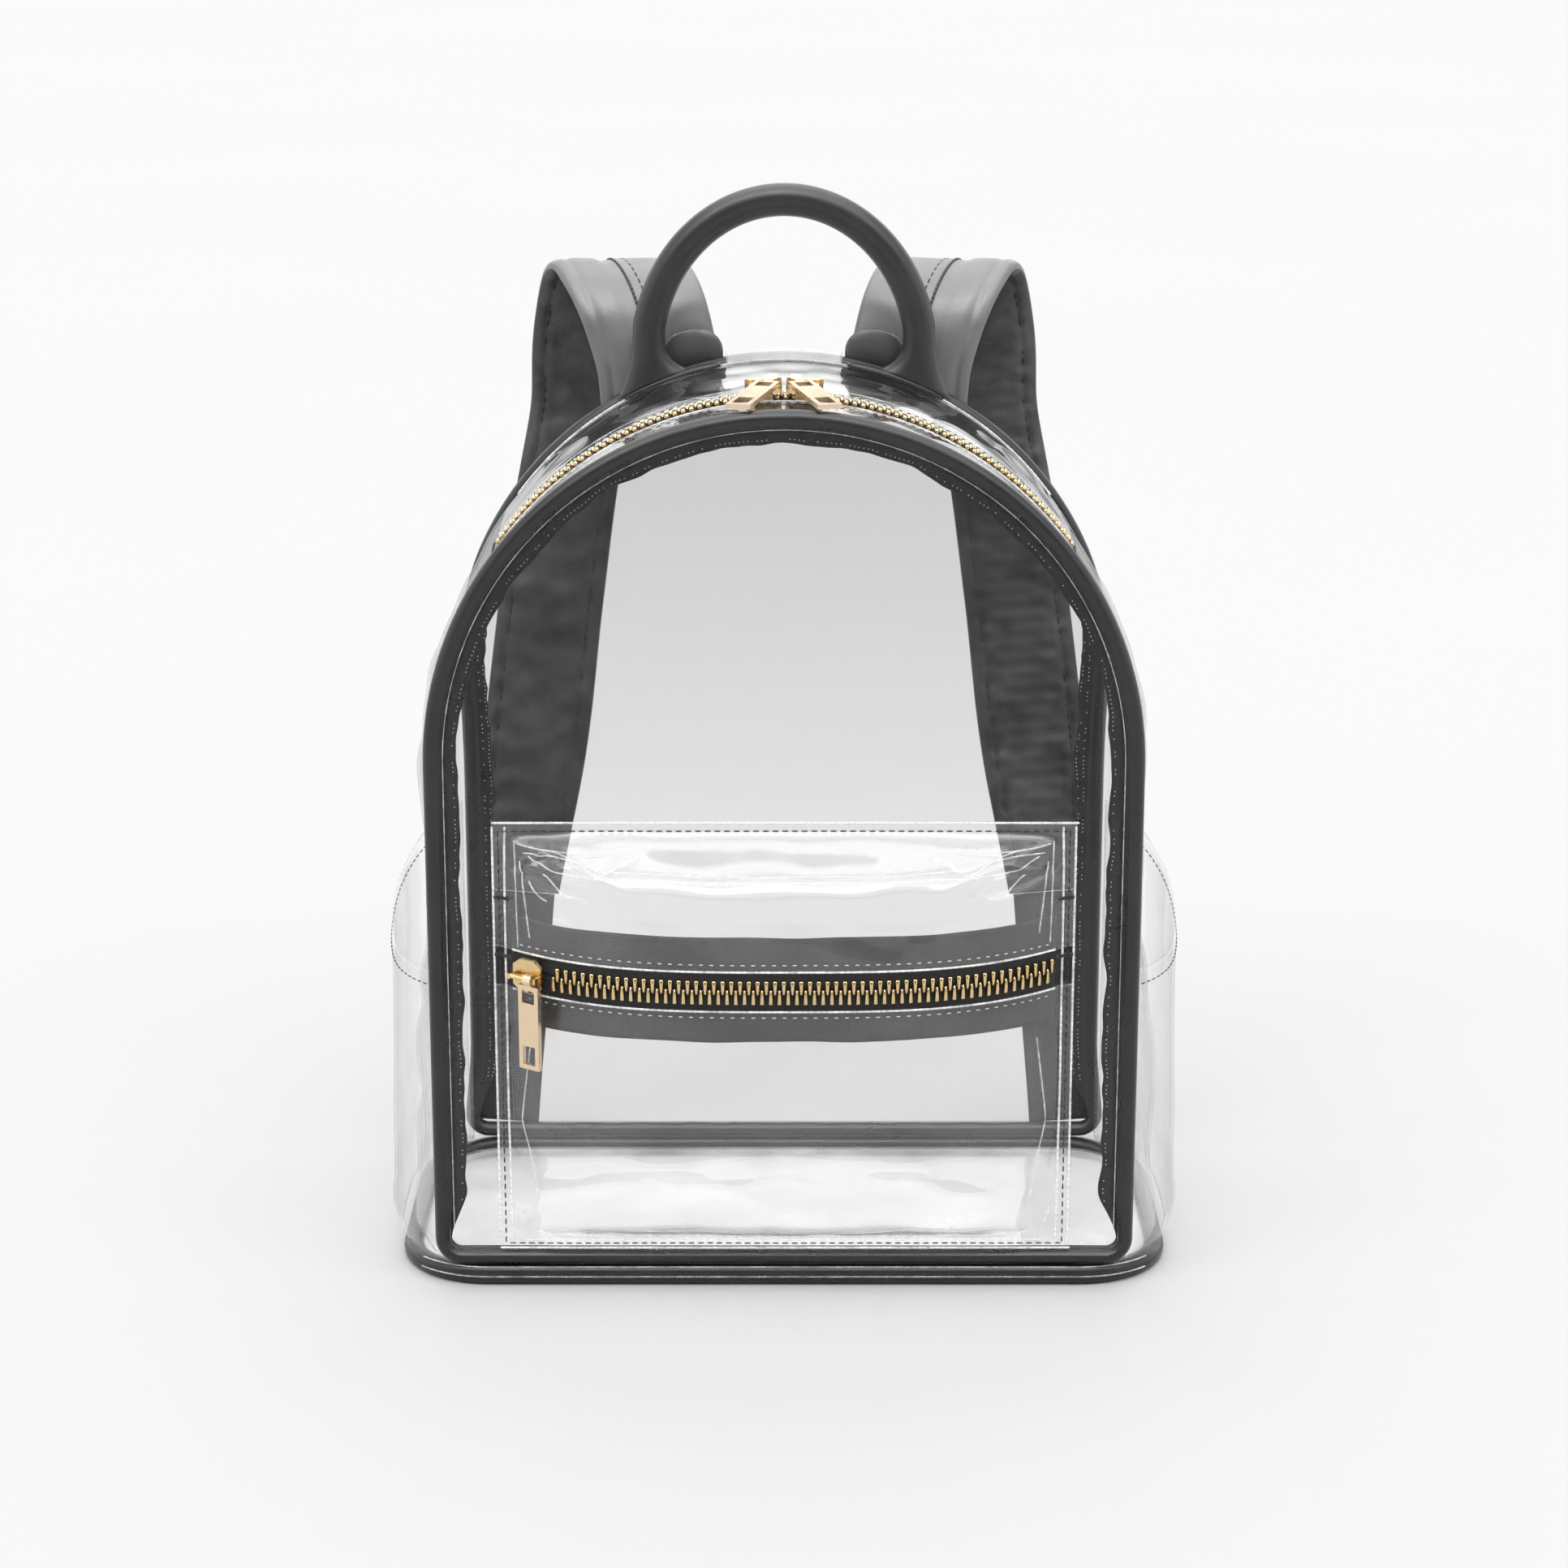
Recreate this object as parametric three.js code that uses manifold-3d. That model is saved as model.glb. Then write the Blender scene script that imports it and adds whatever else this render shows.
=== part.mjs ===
// A small clear backpack: PVC panels bound with black rolls, metal zips, padded shoulder straps.
// Millimetres, X to the right, Y to the back, Z up. The origin is under the middle of the floor of the bag.
import * as THREE from "three";
import { mergeVertices } from "three/addons/utils/BufferGeometryUtils.js";
import Module from "manifold-3d";

const wasm = await Module();
wasm.setup();

// Clearances and sheets
const GAP = 0.3; // between pieces that touch on the real bag
const PVC = 1; // clear sheet
const TAPE = 0.8; // woven zip tape
const PU = 1.2; // leather-look sheet

// Bag
const BAG_WIDTH = 238; // across the seam rolls
const BAG_HEIGHT = 302;
const BAG_DEPTH = 120; // from the front seam to the back seam
const ROLL = 6.4; // seam roll, diameter
const FLAP_WIDTH = 7.5; // binding seen inside the panel, past the roll
const FLAP = 0.9;

// Base
const RIM_HALF_WIDTH = 131; // to the middle of the rim's roll
const RIM_CORNER = 30;
const RIM_WIDTH = 7;
const RIM_HEIGHT = 7;
const RIM_FLAP_HEIGHT = 5; // flap above the rim along the front and the back
const FLOOR_SLOPE = 22; // width of the sloping edge of the clear floor

// Main zip, over the top of the bag
const ZIP_SETBACK = 28; // from the front seam to the middle of the chain
const ZIP_END_ANGLE = 35.6; // degrees above the level of the arch's centre
const CHAIN_WIDTH = 8;
const CHAIN_HEIGHT = 2.4;
const CHAIN_CROWN = 0.7; // level share of the chain's width
const SLOT_WIDTH = 12.4; // between the clear strips
const TAPE_FRONT = 12; // half tapes, from the middle of the chain
const TAPE_REAR = 9;

// Sliders and pulls
const SLIDER_LENGTH = 12;
const SLIDER_WALL = 1.3;
const SLIDER_NOSE = 0.62; // width of a slider's ends over its own
const SLIDER_SPREAD = 6.6; // from the middle of the bag to each main slider
const BAIL_RADIUS = 0.8;
const BAIL_LIFT = 2.5; // axis of the bail above the slider
const BAIL_SPAN = 9.4;
const POST = 1.4;
const POST_DEPTH = 1.9;
const EYE_CLEARANCE = 0.35;
const EYE_WALL = 0.8;
const EYE_WIDTH = 3.2;
const EYE_SHIFT = 3; // from the middle of the bail along the chain
const PULL_LENGTH = 33;
const PULL_WIDTH = 8.4;
const PULL_THICKNESS = 1.6;
const PULL_FRAME = 1.6; // rails round the windows
const PULL_TOP_WINDOW = 4.4;
const PULL_END_WINDOW = 6.4;
const MAIN_PULL_YAW = 21; // degrees
const MAIN_PULL_DROOP = 6.5; // degrees

// Front pocket
const POCKET_WIDTH = 194;
const POCKET_BOTTOM = 13;
const POCKET_TOP = 164.6;
const POCKET_DEPTH = 28;
const POCKET_FLANGE = 3;
const POCKET_SQUARE = 3.2; // how late the pocket falls off towards its sides, as a power
const POCKET_ZIP_HEIGHT = 114.8;
const POCKET_SLOT = 13.2;
const POCKET_TAPE = 18; // half tape
const POCKET_CHAIN_INSET = 8; // from the pocket's right side to the end of its chain
const POCKET_SLIDER_INSET = 14; // from the pocket's left side to the middle of its slider

// Side pockets
const SIDE_POCKET_SWELL = 10;
const SIDE_POCKET_SQUARE = 4;
const HEM_FRONT = 111;
const HEM_MIDDLE = 118;
const HEM_BACK = 139;

// Grab handle
const HANDLE_THICKNESS = 11.4;
const HANDLE_HALF_WIDTH = 48;
const HANDLE_RISE = 55;
const HANDLE_SETBACK = 10.2; // from the back seam
const HANDLE_LEG = 9.5; // straight part of the handle above its patch
const FOOT_FLARE = 1.5; // width of the handle's foot over its thickness
const PATCH_LENGTH = 36;
const PATCH_WIDTH = 13;
const PATCH_MARGIN = 9.75; // patch past the middle of the handle's foot

// Shoulder straps
const STRAP_ROOT = 45; // from the middle of the bag
const STRAP_WIDTH = 46;
const STRAP_THICKNESS = 8;
const STRAP_REACH = 46; // behind the back seam roll
const STRAP_RISE = 36; // above the top of the arch at the root
const STRAP_SPREAD = 60; // outward travel from the root to the lower corner
const STRAP_PAD_SHARE = 0.78; // padded share of the strap's route
const WEBBING_WIDTH = 25;
const WEBBING = 1.8;
const ADJUSTER_HEIGHT = 16;
const ADJUSTER_WALL = 2;
const ADJUSTER_SHARE = 0.86; // place of the slide on the route

// Facets
const ARCH_STEPS = 32; // over the top of the bag
const LEG_STEPS = 3; // up each straight side of a roll
const ROLL_STEPS = 8; // round a seam roll
const ZIP_STEPS = 26;
const HANDLE_SIDES = 10;
const HANDLE_STEPS = 20;
const ROUND_SIDES = 12; // of a bail and an eye
const STRAP_STEPS = 26;
const WEBBING_STEPS = 8;

// Values that follow
const ARCH_RADIUS = BAG_WIDTH / 2;
const ARCH_CENTRE = BAG_HEIGHT - ARCH_RADIUS;
const FOOT = RIM_HEIGHT + GAP; // where walls and rolls stand on the rim
const SEAM_FRONT = -BAG_DEPTH / 2;
const GUSSET_HALF = BAG_DEPTH / 2 - ROLL / 2 - GAP;
const GUSSET_SEAM = -ROLL / 2; // wall against the outline of the roll
const RIM_SWELL = RIM_HALF_WIDTH - (ARCH_RADIUS - ROLL / 2);
const ZIP_Y = SEAM_FRONT + ZIP_SETBACK;
const TAPE_DROP = -(PVC / 2 + GAP + TAPE / 2);
const CHAIN_FLOOR = -PVC / 2;
const CHAIN_TOP = CHAIN_FLOOR + CHAIN_HEIGHT;
const SLIDER_FLOOR = CHAIN_TOP + GAP;
const SLIDER_TOP = SLIDER_FLOOR + SLIDER_WALL;
const BAIL_HEIGHT = SLIDER_TOP + BAIL_LIFT;
const POCKET_SEAM_Y = SEAM_FRONT - PVC - GAP;
const LEG = ARCH_CENTRE - FOOT;
const RUN = 2 * LEG + Math.PI * ARCH_RADIUS;
const POCKET_CHAIN_END = POCKET_WIDTH / 2 - POCKET_CHAIN_INSET;
const POCKET_SLIDER_X = POCKET_SLIDER_INSET - POCKET_WIDTH / 2;
const POCKET_CHAIN_START = POCKET_SLIDER_X + SLIDER_LENGTH / 2;

// How far the gusset swells between the seams: height as a share of the bag's, swell as a share of the rim's
const GUSSET_FORM = [
  { at: 0, swell: 1, square: 3.4 },
  { at: 0.15, swell: 0.82, square: 2.8 },
  { at: 0.33, swell: 0.64, square: 2.3 },
  { at: 0.63, swell: 0.42, square: 2 },
  { at: 0.78, swell: 0.12, square: 2 },
  { at: 1, swell: 0.2, square: 2 },
];

// Front pocket from its bottom seam to its top seam: height and depth as shares of its own
const POCKET_FORM = [
  { at: 0, depth: 0 },
  { at: 0.025, depth: 0.02 },
  { at: 0.08, depth: 0.42 },
  { at: 0.2, depth: 0.66 },
  { at: 0.42, depth: 0.87 },
  { at: 0.67, depth: 1 },
  { at: 0.82, depth: 0.93 },
  { at: 0.91, depth: 0.8 },
  { at: 0.975, depth: 0.03 },
  { at: 1, depth: 0 },
];

// Shoulder strap from its root to the lower corner: shares of the spread, the reach, the root's height,
// the rise above it, and the thickness that sets how far its middle stands off
const STRAP_FORM = [
  { out: -0.02, back: 0, up: 0.965, rise: 0, thick: 0.55 },
  { out: 0, back: 0.01, up: 1, rise: 0.12, thick: 0.8 },
  { out: 0.08, back: 0.12, up: 1, rise: 0.6, thick: 1 },
  { out: 0.17, back: 0.35, up: 1, rise: 0.85, thick: 1 },
  { out: 0.28, back: 0.62, up: 1, rise: 0.9, thick: 1 },
  { out: 0.39, back: 0.84, up: 1, rise: 0.68, thick: 1 },
  { out: 0.48, back: 0.96, up: 1, rise: 0.2, thick: 1 },
  { out: 0.54, back: 1, up: 0.94, rise: 0, thick: 1 },
  { out: 0.6, back: 0.96, up: 0.87, rise: 0, thick: 1 },
  { out: 0.68, back: 0.84, up: 0.72, rise: 0, thick: 1 },
  { out: 0.77, back: 0.66, up: 0.55, rise: 0, thick: 1 },
  { out: 0.85, back: 0.48, up: 0.41, rise: 0, thick: 0.9 },
  { out: 0.9, back: 0.32, up: 0.29, rise: 0, thick: 0.5 },
  { out: 0.94, back: 0.17, up: 0.17, rise: 0, thick: 0.25 },
  { out: 0.98, back: 0.04, up: 0.07, rise: 0, thick: 0.25 },
  { out: 0.99, back: 0, up: 0.04, rise: 0, thick: 0.25 },
];

// Padding of the strap along its route: shares of its width and thickness
const STRAP_WIDTHS = [
  { at: 0, width: 0.92, thick: 0.55 },
  { at: 0.08, width: 0.96, thick: 0.9 },
  { at: 0.16, width: 1, thick: 1 },
  { at: 0.26, width: 0.96, thick: 1 },
  { at: 0.36, width: 0.84, thick: 1 },
  { at: 0.5, width: 0.84, thick: 1 },
  { at: 0.66, width: 0.82, thick: 0.95 },
  { at: 0.78, width: 0.62, thick: 0.6 },
];

// Side pocket from the rim to its hem: how far it stands off the side wall, as a share of the swell
const SIDE_POCKET_FORM = [
  { at: 0, swell: 0.02 },
  { at: 0.08, swell: 0.34 },
  { at: 0.2, swell: 0.62 },
  { at: 0.5, swell: 0.8 },
  { at: 0.8, swell: 0.95 },
  { at: 1, swell: 1 },
];

// Section of the base rim above its level underside: shares of half its width and of its height
const RIM_FORM = [
  { out: 0.57, up: 0 },
  { out: 0.9, up: 0.18 },
  { out: 1, up: 0.5 },
  { out: 0.8, up: 0.85 },
];
const RIM_CREST = 0.3; // place of the outer end of the rim's level top

// Where the sheets bend most from their middle to an edge: shares of half their width
const POCKET_BENDS = [0.2, 0.42, 0.62, 0.76, 0.86, 0.93, 0.969, 1];
const GUSSET_BENDS = [0.2, 0.45, 0.66, 0.82, 0.93, 1];

// Straight-line reading of a form table
function readForm(form, at) {
  if (at <= form[0].at) {
    return form[0];
  }
  for (let i = 1; i < form.length; i += 1) {
    if (at <= form[i].at) {
      const low = form[i - 1];
      const high = form[i];
      const share = (at - low.at) / (high.at - low.at);
      const row = {};
      for (const column of Object.keys(low)) {
        row[column] = low[column] + share * (high[column] - low[column]);
      }
      return row;
    }
  }
  return form[form.length - 1];
}

// Shares from one edge to the other
function bothWays(bends) {
  return [...bends.map((share) => -share).reverse(), ...bends];
}

function steps(from, to, count) {
  return Array.from({ length: count + 1 }, (_, i) => from + ((to - from) * i) / count);
}

// A closed geometry from loose triangles, with shared corners merged and faces pointing out
function closedSkin(triangles) {
  const corners = new Map();
  const positions = [];
  const index = [];
  const numberOf = (point) => {
    const key = point.map((value) => Math.round(value * 2000)).join(" ");
    if (!corners.has(key)) {
      corners.set(key, positions.length / 3);
      positions.push(...point);
    }
    return corners.get(key);
  };
  for (const triangle of triangles) {
    const [a, b, c] = triangle.map(numberOf);
    if (a !== b && b !== c && a !== c) {
      index.push(a, b, c);
    }
  }
  const corner = (i) => new THREE.Vector3().fromArray(positions, 3 * index[i]);
  let volume = 0;
  for (let i = 0; i < index.length; i += 3) {
    volume += corner(i).dot(corner(i + 1).cross(corner(i + 2)));
  }
  if (volume < 0) {
    index.reverse();
  }
  const geometry = new THREE.BufferGeometry();
  geometry.setAttribute("position", new THREE.Float32BufferAttribute(positions, 3));
  geometry.setIndex(index);
  geometry.computeVertexNormals();
  return geometry;
}

function quad(a, b, c, d) {
  return [
    [a, b, c],
    [a, c, d],
  ];
}

// A wall between two skins of the same grid: pointAt(row, column, side), side 1 outside and -1 inside
function wall(rows, columns, pointAt) {
  const triangles = [];
  const last = { row: rows.length - 1, column: columns.length - 1 };
  const at = (i, j, side) => pointAt(rows[i], columns[j], side);
  for (let i = 0; i < last.row; i += 1) {
    for (let j = 0; j < last.column; j += 1) {
      triangles.push(...quad(at(i, j, 1), at(i + 1, j, 1), at(i + 1, j + 1, 1), at(i, j + 1, 1)));
      triangles.push(...quad(at(i, j, -1), at(i, j + 1, -1), at(i + 1, j + 1, -1), at(i + 1, j, -1)));
    }
    triangles.push(...quad(at(i, 0, 1), at(i, 0, -1), at(i + 1, 0, -1), at(i + 1, 0, 1)));
    const j = last.column;
    triangles.push(...quad(at(i, j, 1), at(i + 1, j, 1), at(i + 1, j, -1), at(i, j, -1)));
  }
  for (let j = 0; j < last.column; j += 1) {
    triangles.push(...quad(at(0, j, 1), at(0, j + 1, 1), at(0, j + 1, -1), at(0, j, -1)));
    const i = last.row;
    triangles.push(...quad(at(i, j, 1), at(i, j, -1), at(i, j + 1, -1), at(i, j + 1, 1)));
  }
  return closedSkin(triangles);
}

// A skin through sections of equal length; an open one is closed by its first and last section
function loft(sections, capOutline, isRing = false) {
  const outline = (capOutline || []).map(([a, b]) => new THREE.Vector2(a, b));
  if (capOutline && THREE.ShapeUtils.isClockWise(outline)) {
    outline.reverse();
    sections = sections.map((section) => [...section].reverse());
  }
  const triangles = [];
  const size = sections[0].length;
  const count = sections.length;
  for (let i = 0; i < (isRing ? count : count - 1); i += 1) {
    const here = sections[i];
    const next = sections[(i + 1) % count];
    for (let j = 0; j < size; j += 1) {
      const k = (j + 1) % size;
      triangles.push(...quad(here[j], next[j], next[k], here[k]));
    }
  }
  if (!isRing) {
    for (const [a, b, c] of THREE.ShapeUtils.triangulateShape(outline, [])) {
      triangles.push([sections[0][a], sections[0][b], sections[0][c]]);
      triangles.push([sections[count - 1][a], sections[count - 1][c], sections[count - 1][b]]);
    }
  }
  return closedSkin(triangles);
}

// A flat sheet in the XZ plane with its outline given, between two depths
function plate(outline, front, back) {
  const sections = [front, back].map((y) => outline.map(([x, z]) => [x, y, z]));
  return loft(sections, outline);
}

// A place on the outline of the bag, counted in millimetres from the left foot over the top
function archAt(along, offset) {
  const radius = ARCH_RADIUS + offset;
  if (along < LEG) {
    return { x: -radius, z: FOOT + along, angle: Math.PI };
  }
  if (along > RUN - LEG) {
    return { x: radius, z: FOOT + RUN - along, angle: 0 };
  }
  const angle = Math.PI - (along - LEG) / ARCH_RADIUS;
  return { x: radius * Math.cos(angle), z: ARCH_CENTRE + radius * Math.sin(angle), angle };
}

function archSteps(legSteps) {
  return [
    ...steps(0, LEG, legSteps),
    ...steps(LEG, RUN - LEG, ARCH_STEPS).slice(1),
    ...steps(RUN - LEG, RUN, legSteps).slice(1),
  ];
}

// The middle of the gusset's sheet, moved out by some amount
function gussetAt(along, y, out) {
  const form = readForm(GUSSET_FORM, archAt(along, 0).z / BAG_HEIGHT);
  const across = Math.min(1, Math.abs(y) / GUSSET_HALF);
  const swell = form.swell * RIM_SWELL * (1 - across ** form.square);
  const place = archAt(along, GUSSET_SEAM + swell + out);
  return [place.x, y, place.z];
}

function gussetSheet(alongSteps, ySteps, middle, thickness) {
  return wall(alongSteps, ySteps, (along, y, side) => {
    return gussetAt(along, y, middle + (side * thickness) / 2);
  });
}

// Seam roll with its inner flap, along the legs and the arch; inward is 1 at the front and -1 at the back
function binding(inward) {
  const radius = ROLL / 2;
  const flapNear = PVC / 2 + GAP;
  const flapFar = flapNear + FLAP;
  const flapEnd = -(ROLL + FLAP_WIDTH);
  const firstAngle = Math.PI - Math.asin(flapNear / radius);
  const lastAngle = 3 * Math.PI - Math.asin(flapFar / radius);
  const outline = [
    [flapEnd, flapNear],
    ...steps(firstAngle, lastAngle, ROLL_STEPS).map((angle) => {
      return [radius * (Math.cos(angle) - 1), radius * Math.sin(angle)];
    }),
    [flapEnd, flapFar],
  ];
  const sections = archSteps(LEG_STEPS).map((along) => {
    return outline.map(([offset, depth]) => {
      const place = archAt(along, offset);
      return [place.x, inward * (SEAM_FRONT + depth), place.z];
    });
  });
  return loft(sections, outline);
}

// Clear panel inside a binding, from the rim to the top
function panel(seam) {
  const outline = archSteps(1).map((along) => {
    const place = archAt(along, -(ROLL + GAP));
    return [place.x, place.z];
  });
  return plate(outline, seam - PVC / 2, seam + PVC / 2);
}

// Places round a rounded rectangle in plan, with the outward direction of each
function roundedRectangle(halfWidth, halfDepth, corner, cornerSteps) {
  const places = [];
  for (const [quarter, signX, signY] of [[0, 1, 1], [1, -1, 1], [2, -1, -1], [3, 1, -1]]) {
    for (const share of steps(0, 1, cornerSteps)) {
      const angle = ((quarter + share) * Math.PI) / 2;
      places.push({
        x: signX * (halfWidth - corner) + corner * Math.cos(angle),
        y: signY * (halfDepth - corner) + corner * Math.sin(angle),
        outX: Math.cos(angle),
        outY: Math.sin(angle),
        flap: 0,
      });
    }
  }
  return places;
}

// Black roll that the bag stands on, with a flap up the inside of the front and the back panel
function baseRim() {
  const places = [];
  const flapRun = RIM_HALF_WIDTH - RIM_CORNER - RIM_WIDTH;
  for (const place of roundedRectangle(RIM_HALF_WIDTH, BAG_DEPTH / 2, RIM_CORNER, 6)) {
    const last = places[places.length - 1];
    if (last && last.y === place.y && last.x * place.x < 0) {
      const side = Math.sign(last.x);
      places.push({ ...last, x: side * flapRun, flap: RIM_FLAP_HEIGHT });
      places.push({ ...last, x: -side * flapRun, flap: RIM_FLAP_HEIGHT });
    }
    places.push(place);
  }
  const half = RIM_WIDTH / 2;
  const flapNear = PVC / 2 + GAP;
  const flapFar = flapNear + FLAP;
  const sections = places.map(({ x, y, outX, outY, flap }) => {
    const flank = (side) => RIM_FORM.map((row) => [side * row.out * half, row.up * RIM_HEIGHT]);
    const outline = [
      ...flank(1),
      [RIM_CREST * half, RIM_HEIGHT],
      [-flapNear, RIM_HEIGHT],
      [-flapNear, RIM_HEIGHT + flap],
      [-flapFar, RIM_HEIGHT + flap],
      [-flapFar, RIM_HEIGHT],
      ...flank(-1).reverse(),
    ];
    return outline.map(([out, z]) => [x + outX * out, y + outY * out, z]);
  });
  return loft(sections, null, true);
}

// Clear floor: it lies on the ground in the middle and slopes up to the middle of the rim
function floorSheet() {
  const inset = RIM_WIDTH / 2 + GAP;
  const edge = roundedRectangle(RIM_HALF_WIDTH - inset, BAG_DEPTH / 2 - inset, RIM_CORNER - inset, 5);
  const edgeHeight = (RIM_HEIGHT - PVC) / 2;
  const ring = (inward, z) => edge.map((p) => [p.x - p.outX * inward, p.y - p.outY * inward, z]);
  const under = [ring(FLOOR_SLOPE, 0), ring(0, edgeHeight)];
  const sections = [...under, ring(0, edgeHeight + PVC), ring(FLOOR_SLOPE, PVC)];
  return loft(sections, sections[0].map(([x, y]) => [x, y]));
}

const ZIP_END = LEG + (ZIP_END_ANGLE * Math.PI * ARCH_RADIUS) / 180;
const ZIP_SPAN = steps(ZIP_END + GAP / 2, RUN - ZIP_END - GAP / 2, ZIP_STEPS);

// The place on the run over the top that has a given X
function alongAtX(x) {
  return LEG + (Math.PI - Math.acos(x / ARCH_RADIUS)) * ARCH_RADIUS;
}

// Pocket at the side: open along a slanted hem
function sidePocket(side) {
  const heightAt = (share, y) => {
    const across = y / GUSSET_HALF;
    const mean = (HEM_FRONT + HEM_BACK) / 2;
    const slant = (HEM_BACK - HEM_FRONT) / 2;
    const hem = mean + across * slant + (HEM_MIDDLE - mean) * (1 - across ** 2);
    return FOOT + share * (hem - FOOT);
  };
  const rows = steps(-GUSSET_HALF, GUSSET_HALF, 14);
  return wall(rows, SIDE_POCKET_FORM.map((row) => row.at), (y, share, skin) => {
    const z = heightAt(share, y);
    const across = Math.abs(y) / GUSSET_HALF;
    const form = readForm(SIDE_POCKET_FORM, share);
    const swell = SIDE_POCKET_SWELL * form.swell * (1 - across ** SIDE_POCKET_SQUARE);
    const out = PVC + GAP + swell + (skin * PVC) / 2;
    const [x] = gussetAt(z - FOOT, y, out);
    return [-side * x, y, z];
  });
}

// Depth of the front pocket's sheet, then a place beside it along its own outward direction
function pocketDepth(x, z) {
  const half = POCKET_WIDTH / 2 - POCKET_FLANGE;
  const across = Math.min(1, Math.abs(x) / half);
  const form = readForm(POCKET_FORM, (z - POCKET_BOTTOM) / (POCKET_TOP - POCKET_BOTTOM));
  return POCKET_SEAM_Y - POCKET_DEPTH * form.depth * (1 - across ** POCKET_SQUARE);
}

function pocketOutward(x, z) {
  const probe = 1;
  const slopeX = (pocketDepth(x + probe, z) - pocketDepth(x - probe, z)) / (2 * probe);
  const slopeZ = (pocketDepth(x, z + probe) - pocketDepth(x, z - probe)) / (2 * probe);
  return new THREE.Vector3(slopeX, -1, slopeZ).normalize();
}

function pocketAt(x, z, out) {
  const outward = pocketOutward(x, z);
  return [x + outward.x * out, pocketDepth(x, z) + outward.y * out, z + outward.z * out];
}

const POCKET_COLUMNS = [...bothWays(POCKET_BENDS), 0]
  .sort((a, b) => a - b)
  .map((share) => (share * POCKET_WIDTH) / 2);

function pocketSheet(low, high) {
  const rows = [low];
  for (const { at } of POCKET_FORM) {
    const z = POCKET_BOTTOM + at * (POCKET_TOP - POCKET_BOTTOM);
    if (z > low + PVC && z < high - PVC) {
      rows.push(z);
    }
  }
  rows.push(high);
  return wall(rows, POCKET_COLUMNS, (z, x, side) => pocketAt(x, z, (side * PVC) / 2));
}

// Half of the pocket's zip tape: above the chain with up 1, below it with up -1
function pocketTape(up) {
  const inside = POCKET_WIDTH / 2 - 2 * POCKET_FLANGE;
  const columns = POCKET_COLUMNS.filter((x) => Math.abs(x) < inside);
  const rows = [GAP / 2, POCKET_SLOT / 2, POCKET_TAPE].map((reach) => POCKET_ZIP_HEIGHT + up * reach);
  return wall(rows, columns, (z, x, side) => pocketAt(x, z, TAPE_DROP + (side * TAPE) / 2));
}

function pocketChain() {
  const inner = POCKET_COLUMNS.filter((x) => x > POCKET_CHAIN_START && x < POCKET_CHAIN_END);
  const rows = [POCKET_CHAIN_START, ...inner, POCKET_CHAIN_END];
  const half = CHAIN_WIDTH / 2;
  const columns = [-half, -CHAIN_CROWN * half, CHAIN_CROWN * half, half];
  return wall(rows, columns, (x, across, side) => {
    const crown = Math.abs(across) < half ? CHAIN_TOP : CHAIN_FLOOR + CHAIN_HEIGHT / 2;
    return pocketAt(x, POCKET_ZIP_HEIGHT + across, side > 0 ? crown : CHAIN_FLOOR);
  });
}

function mainChain() {
  const half = CHAIN_WIDTH / 2;
  const columns = [-half, -CHAIN_CROWN * half, CHAIN_CROWN * half, half];
  return wall(ZIP_SPAN, columns, (along, across, side) => {
    const crown = Math.abs(across) < half ? CHAIN_TOP : CHAIN_FLOOR + CHAIN_HEIGHT / 2;
    return gussetAt(along, ZIP_Y + across, side > 0 ? crown : CHAIN_FLOOR);
  });
}

function solid(geometry) {
  const bare = geometry.clone();
  bare.deleteAttribute("normal");
  bare.deleteAttribute("uv");
  const merged = mergeVertices(bare, 1e-4);
  const vertProperties = merged.attributes.position.array;
  const triVerts = new Uint32Array(merged.index.array);
  return new wasm.Manifold(new wasm.Mesh({ numProp: 3, vertProperties, triVerts }));
}

function geometryOf(body) {
  const { vertProperties, triVerts } = body.getMesh();
  const geometry = new THREE.BufferGeometry();
  geometry.setAttribute("position", new THREE.Float32BufferAttribute(vertProperties, 3));
  geometry.setIndex([...triVerts]);
  geometry.computeVertexNormals();
  return geometry;
}

function join(...geometries) {
  return geometryOf(geometries.map(solid).reduce((sum, next) => sum.add(next)));
}

function block(sizeX, sizeY, sizeZ, x, y, z) {
  return new THREE.BoxGeometry(sizeX, sizeY, sizeZ).translate(x, y, z);
}

function barAlongX(radius, length, z) {
  const bar = new THREE.CylinderGeometry(radius, radius, length, ROUND_SIDES);
  return bar.rotateZ(Math.PI / 2).translate(0, 0, z);
}

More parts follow.
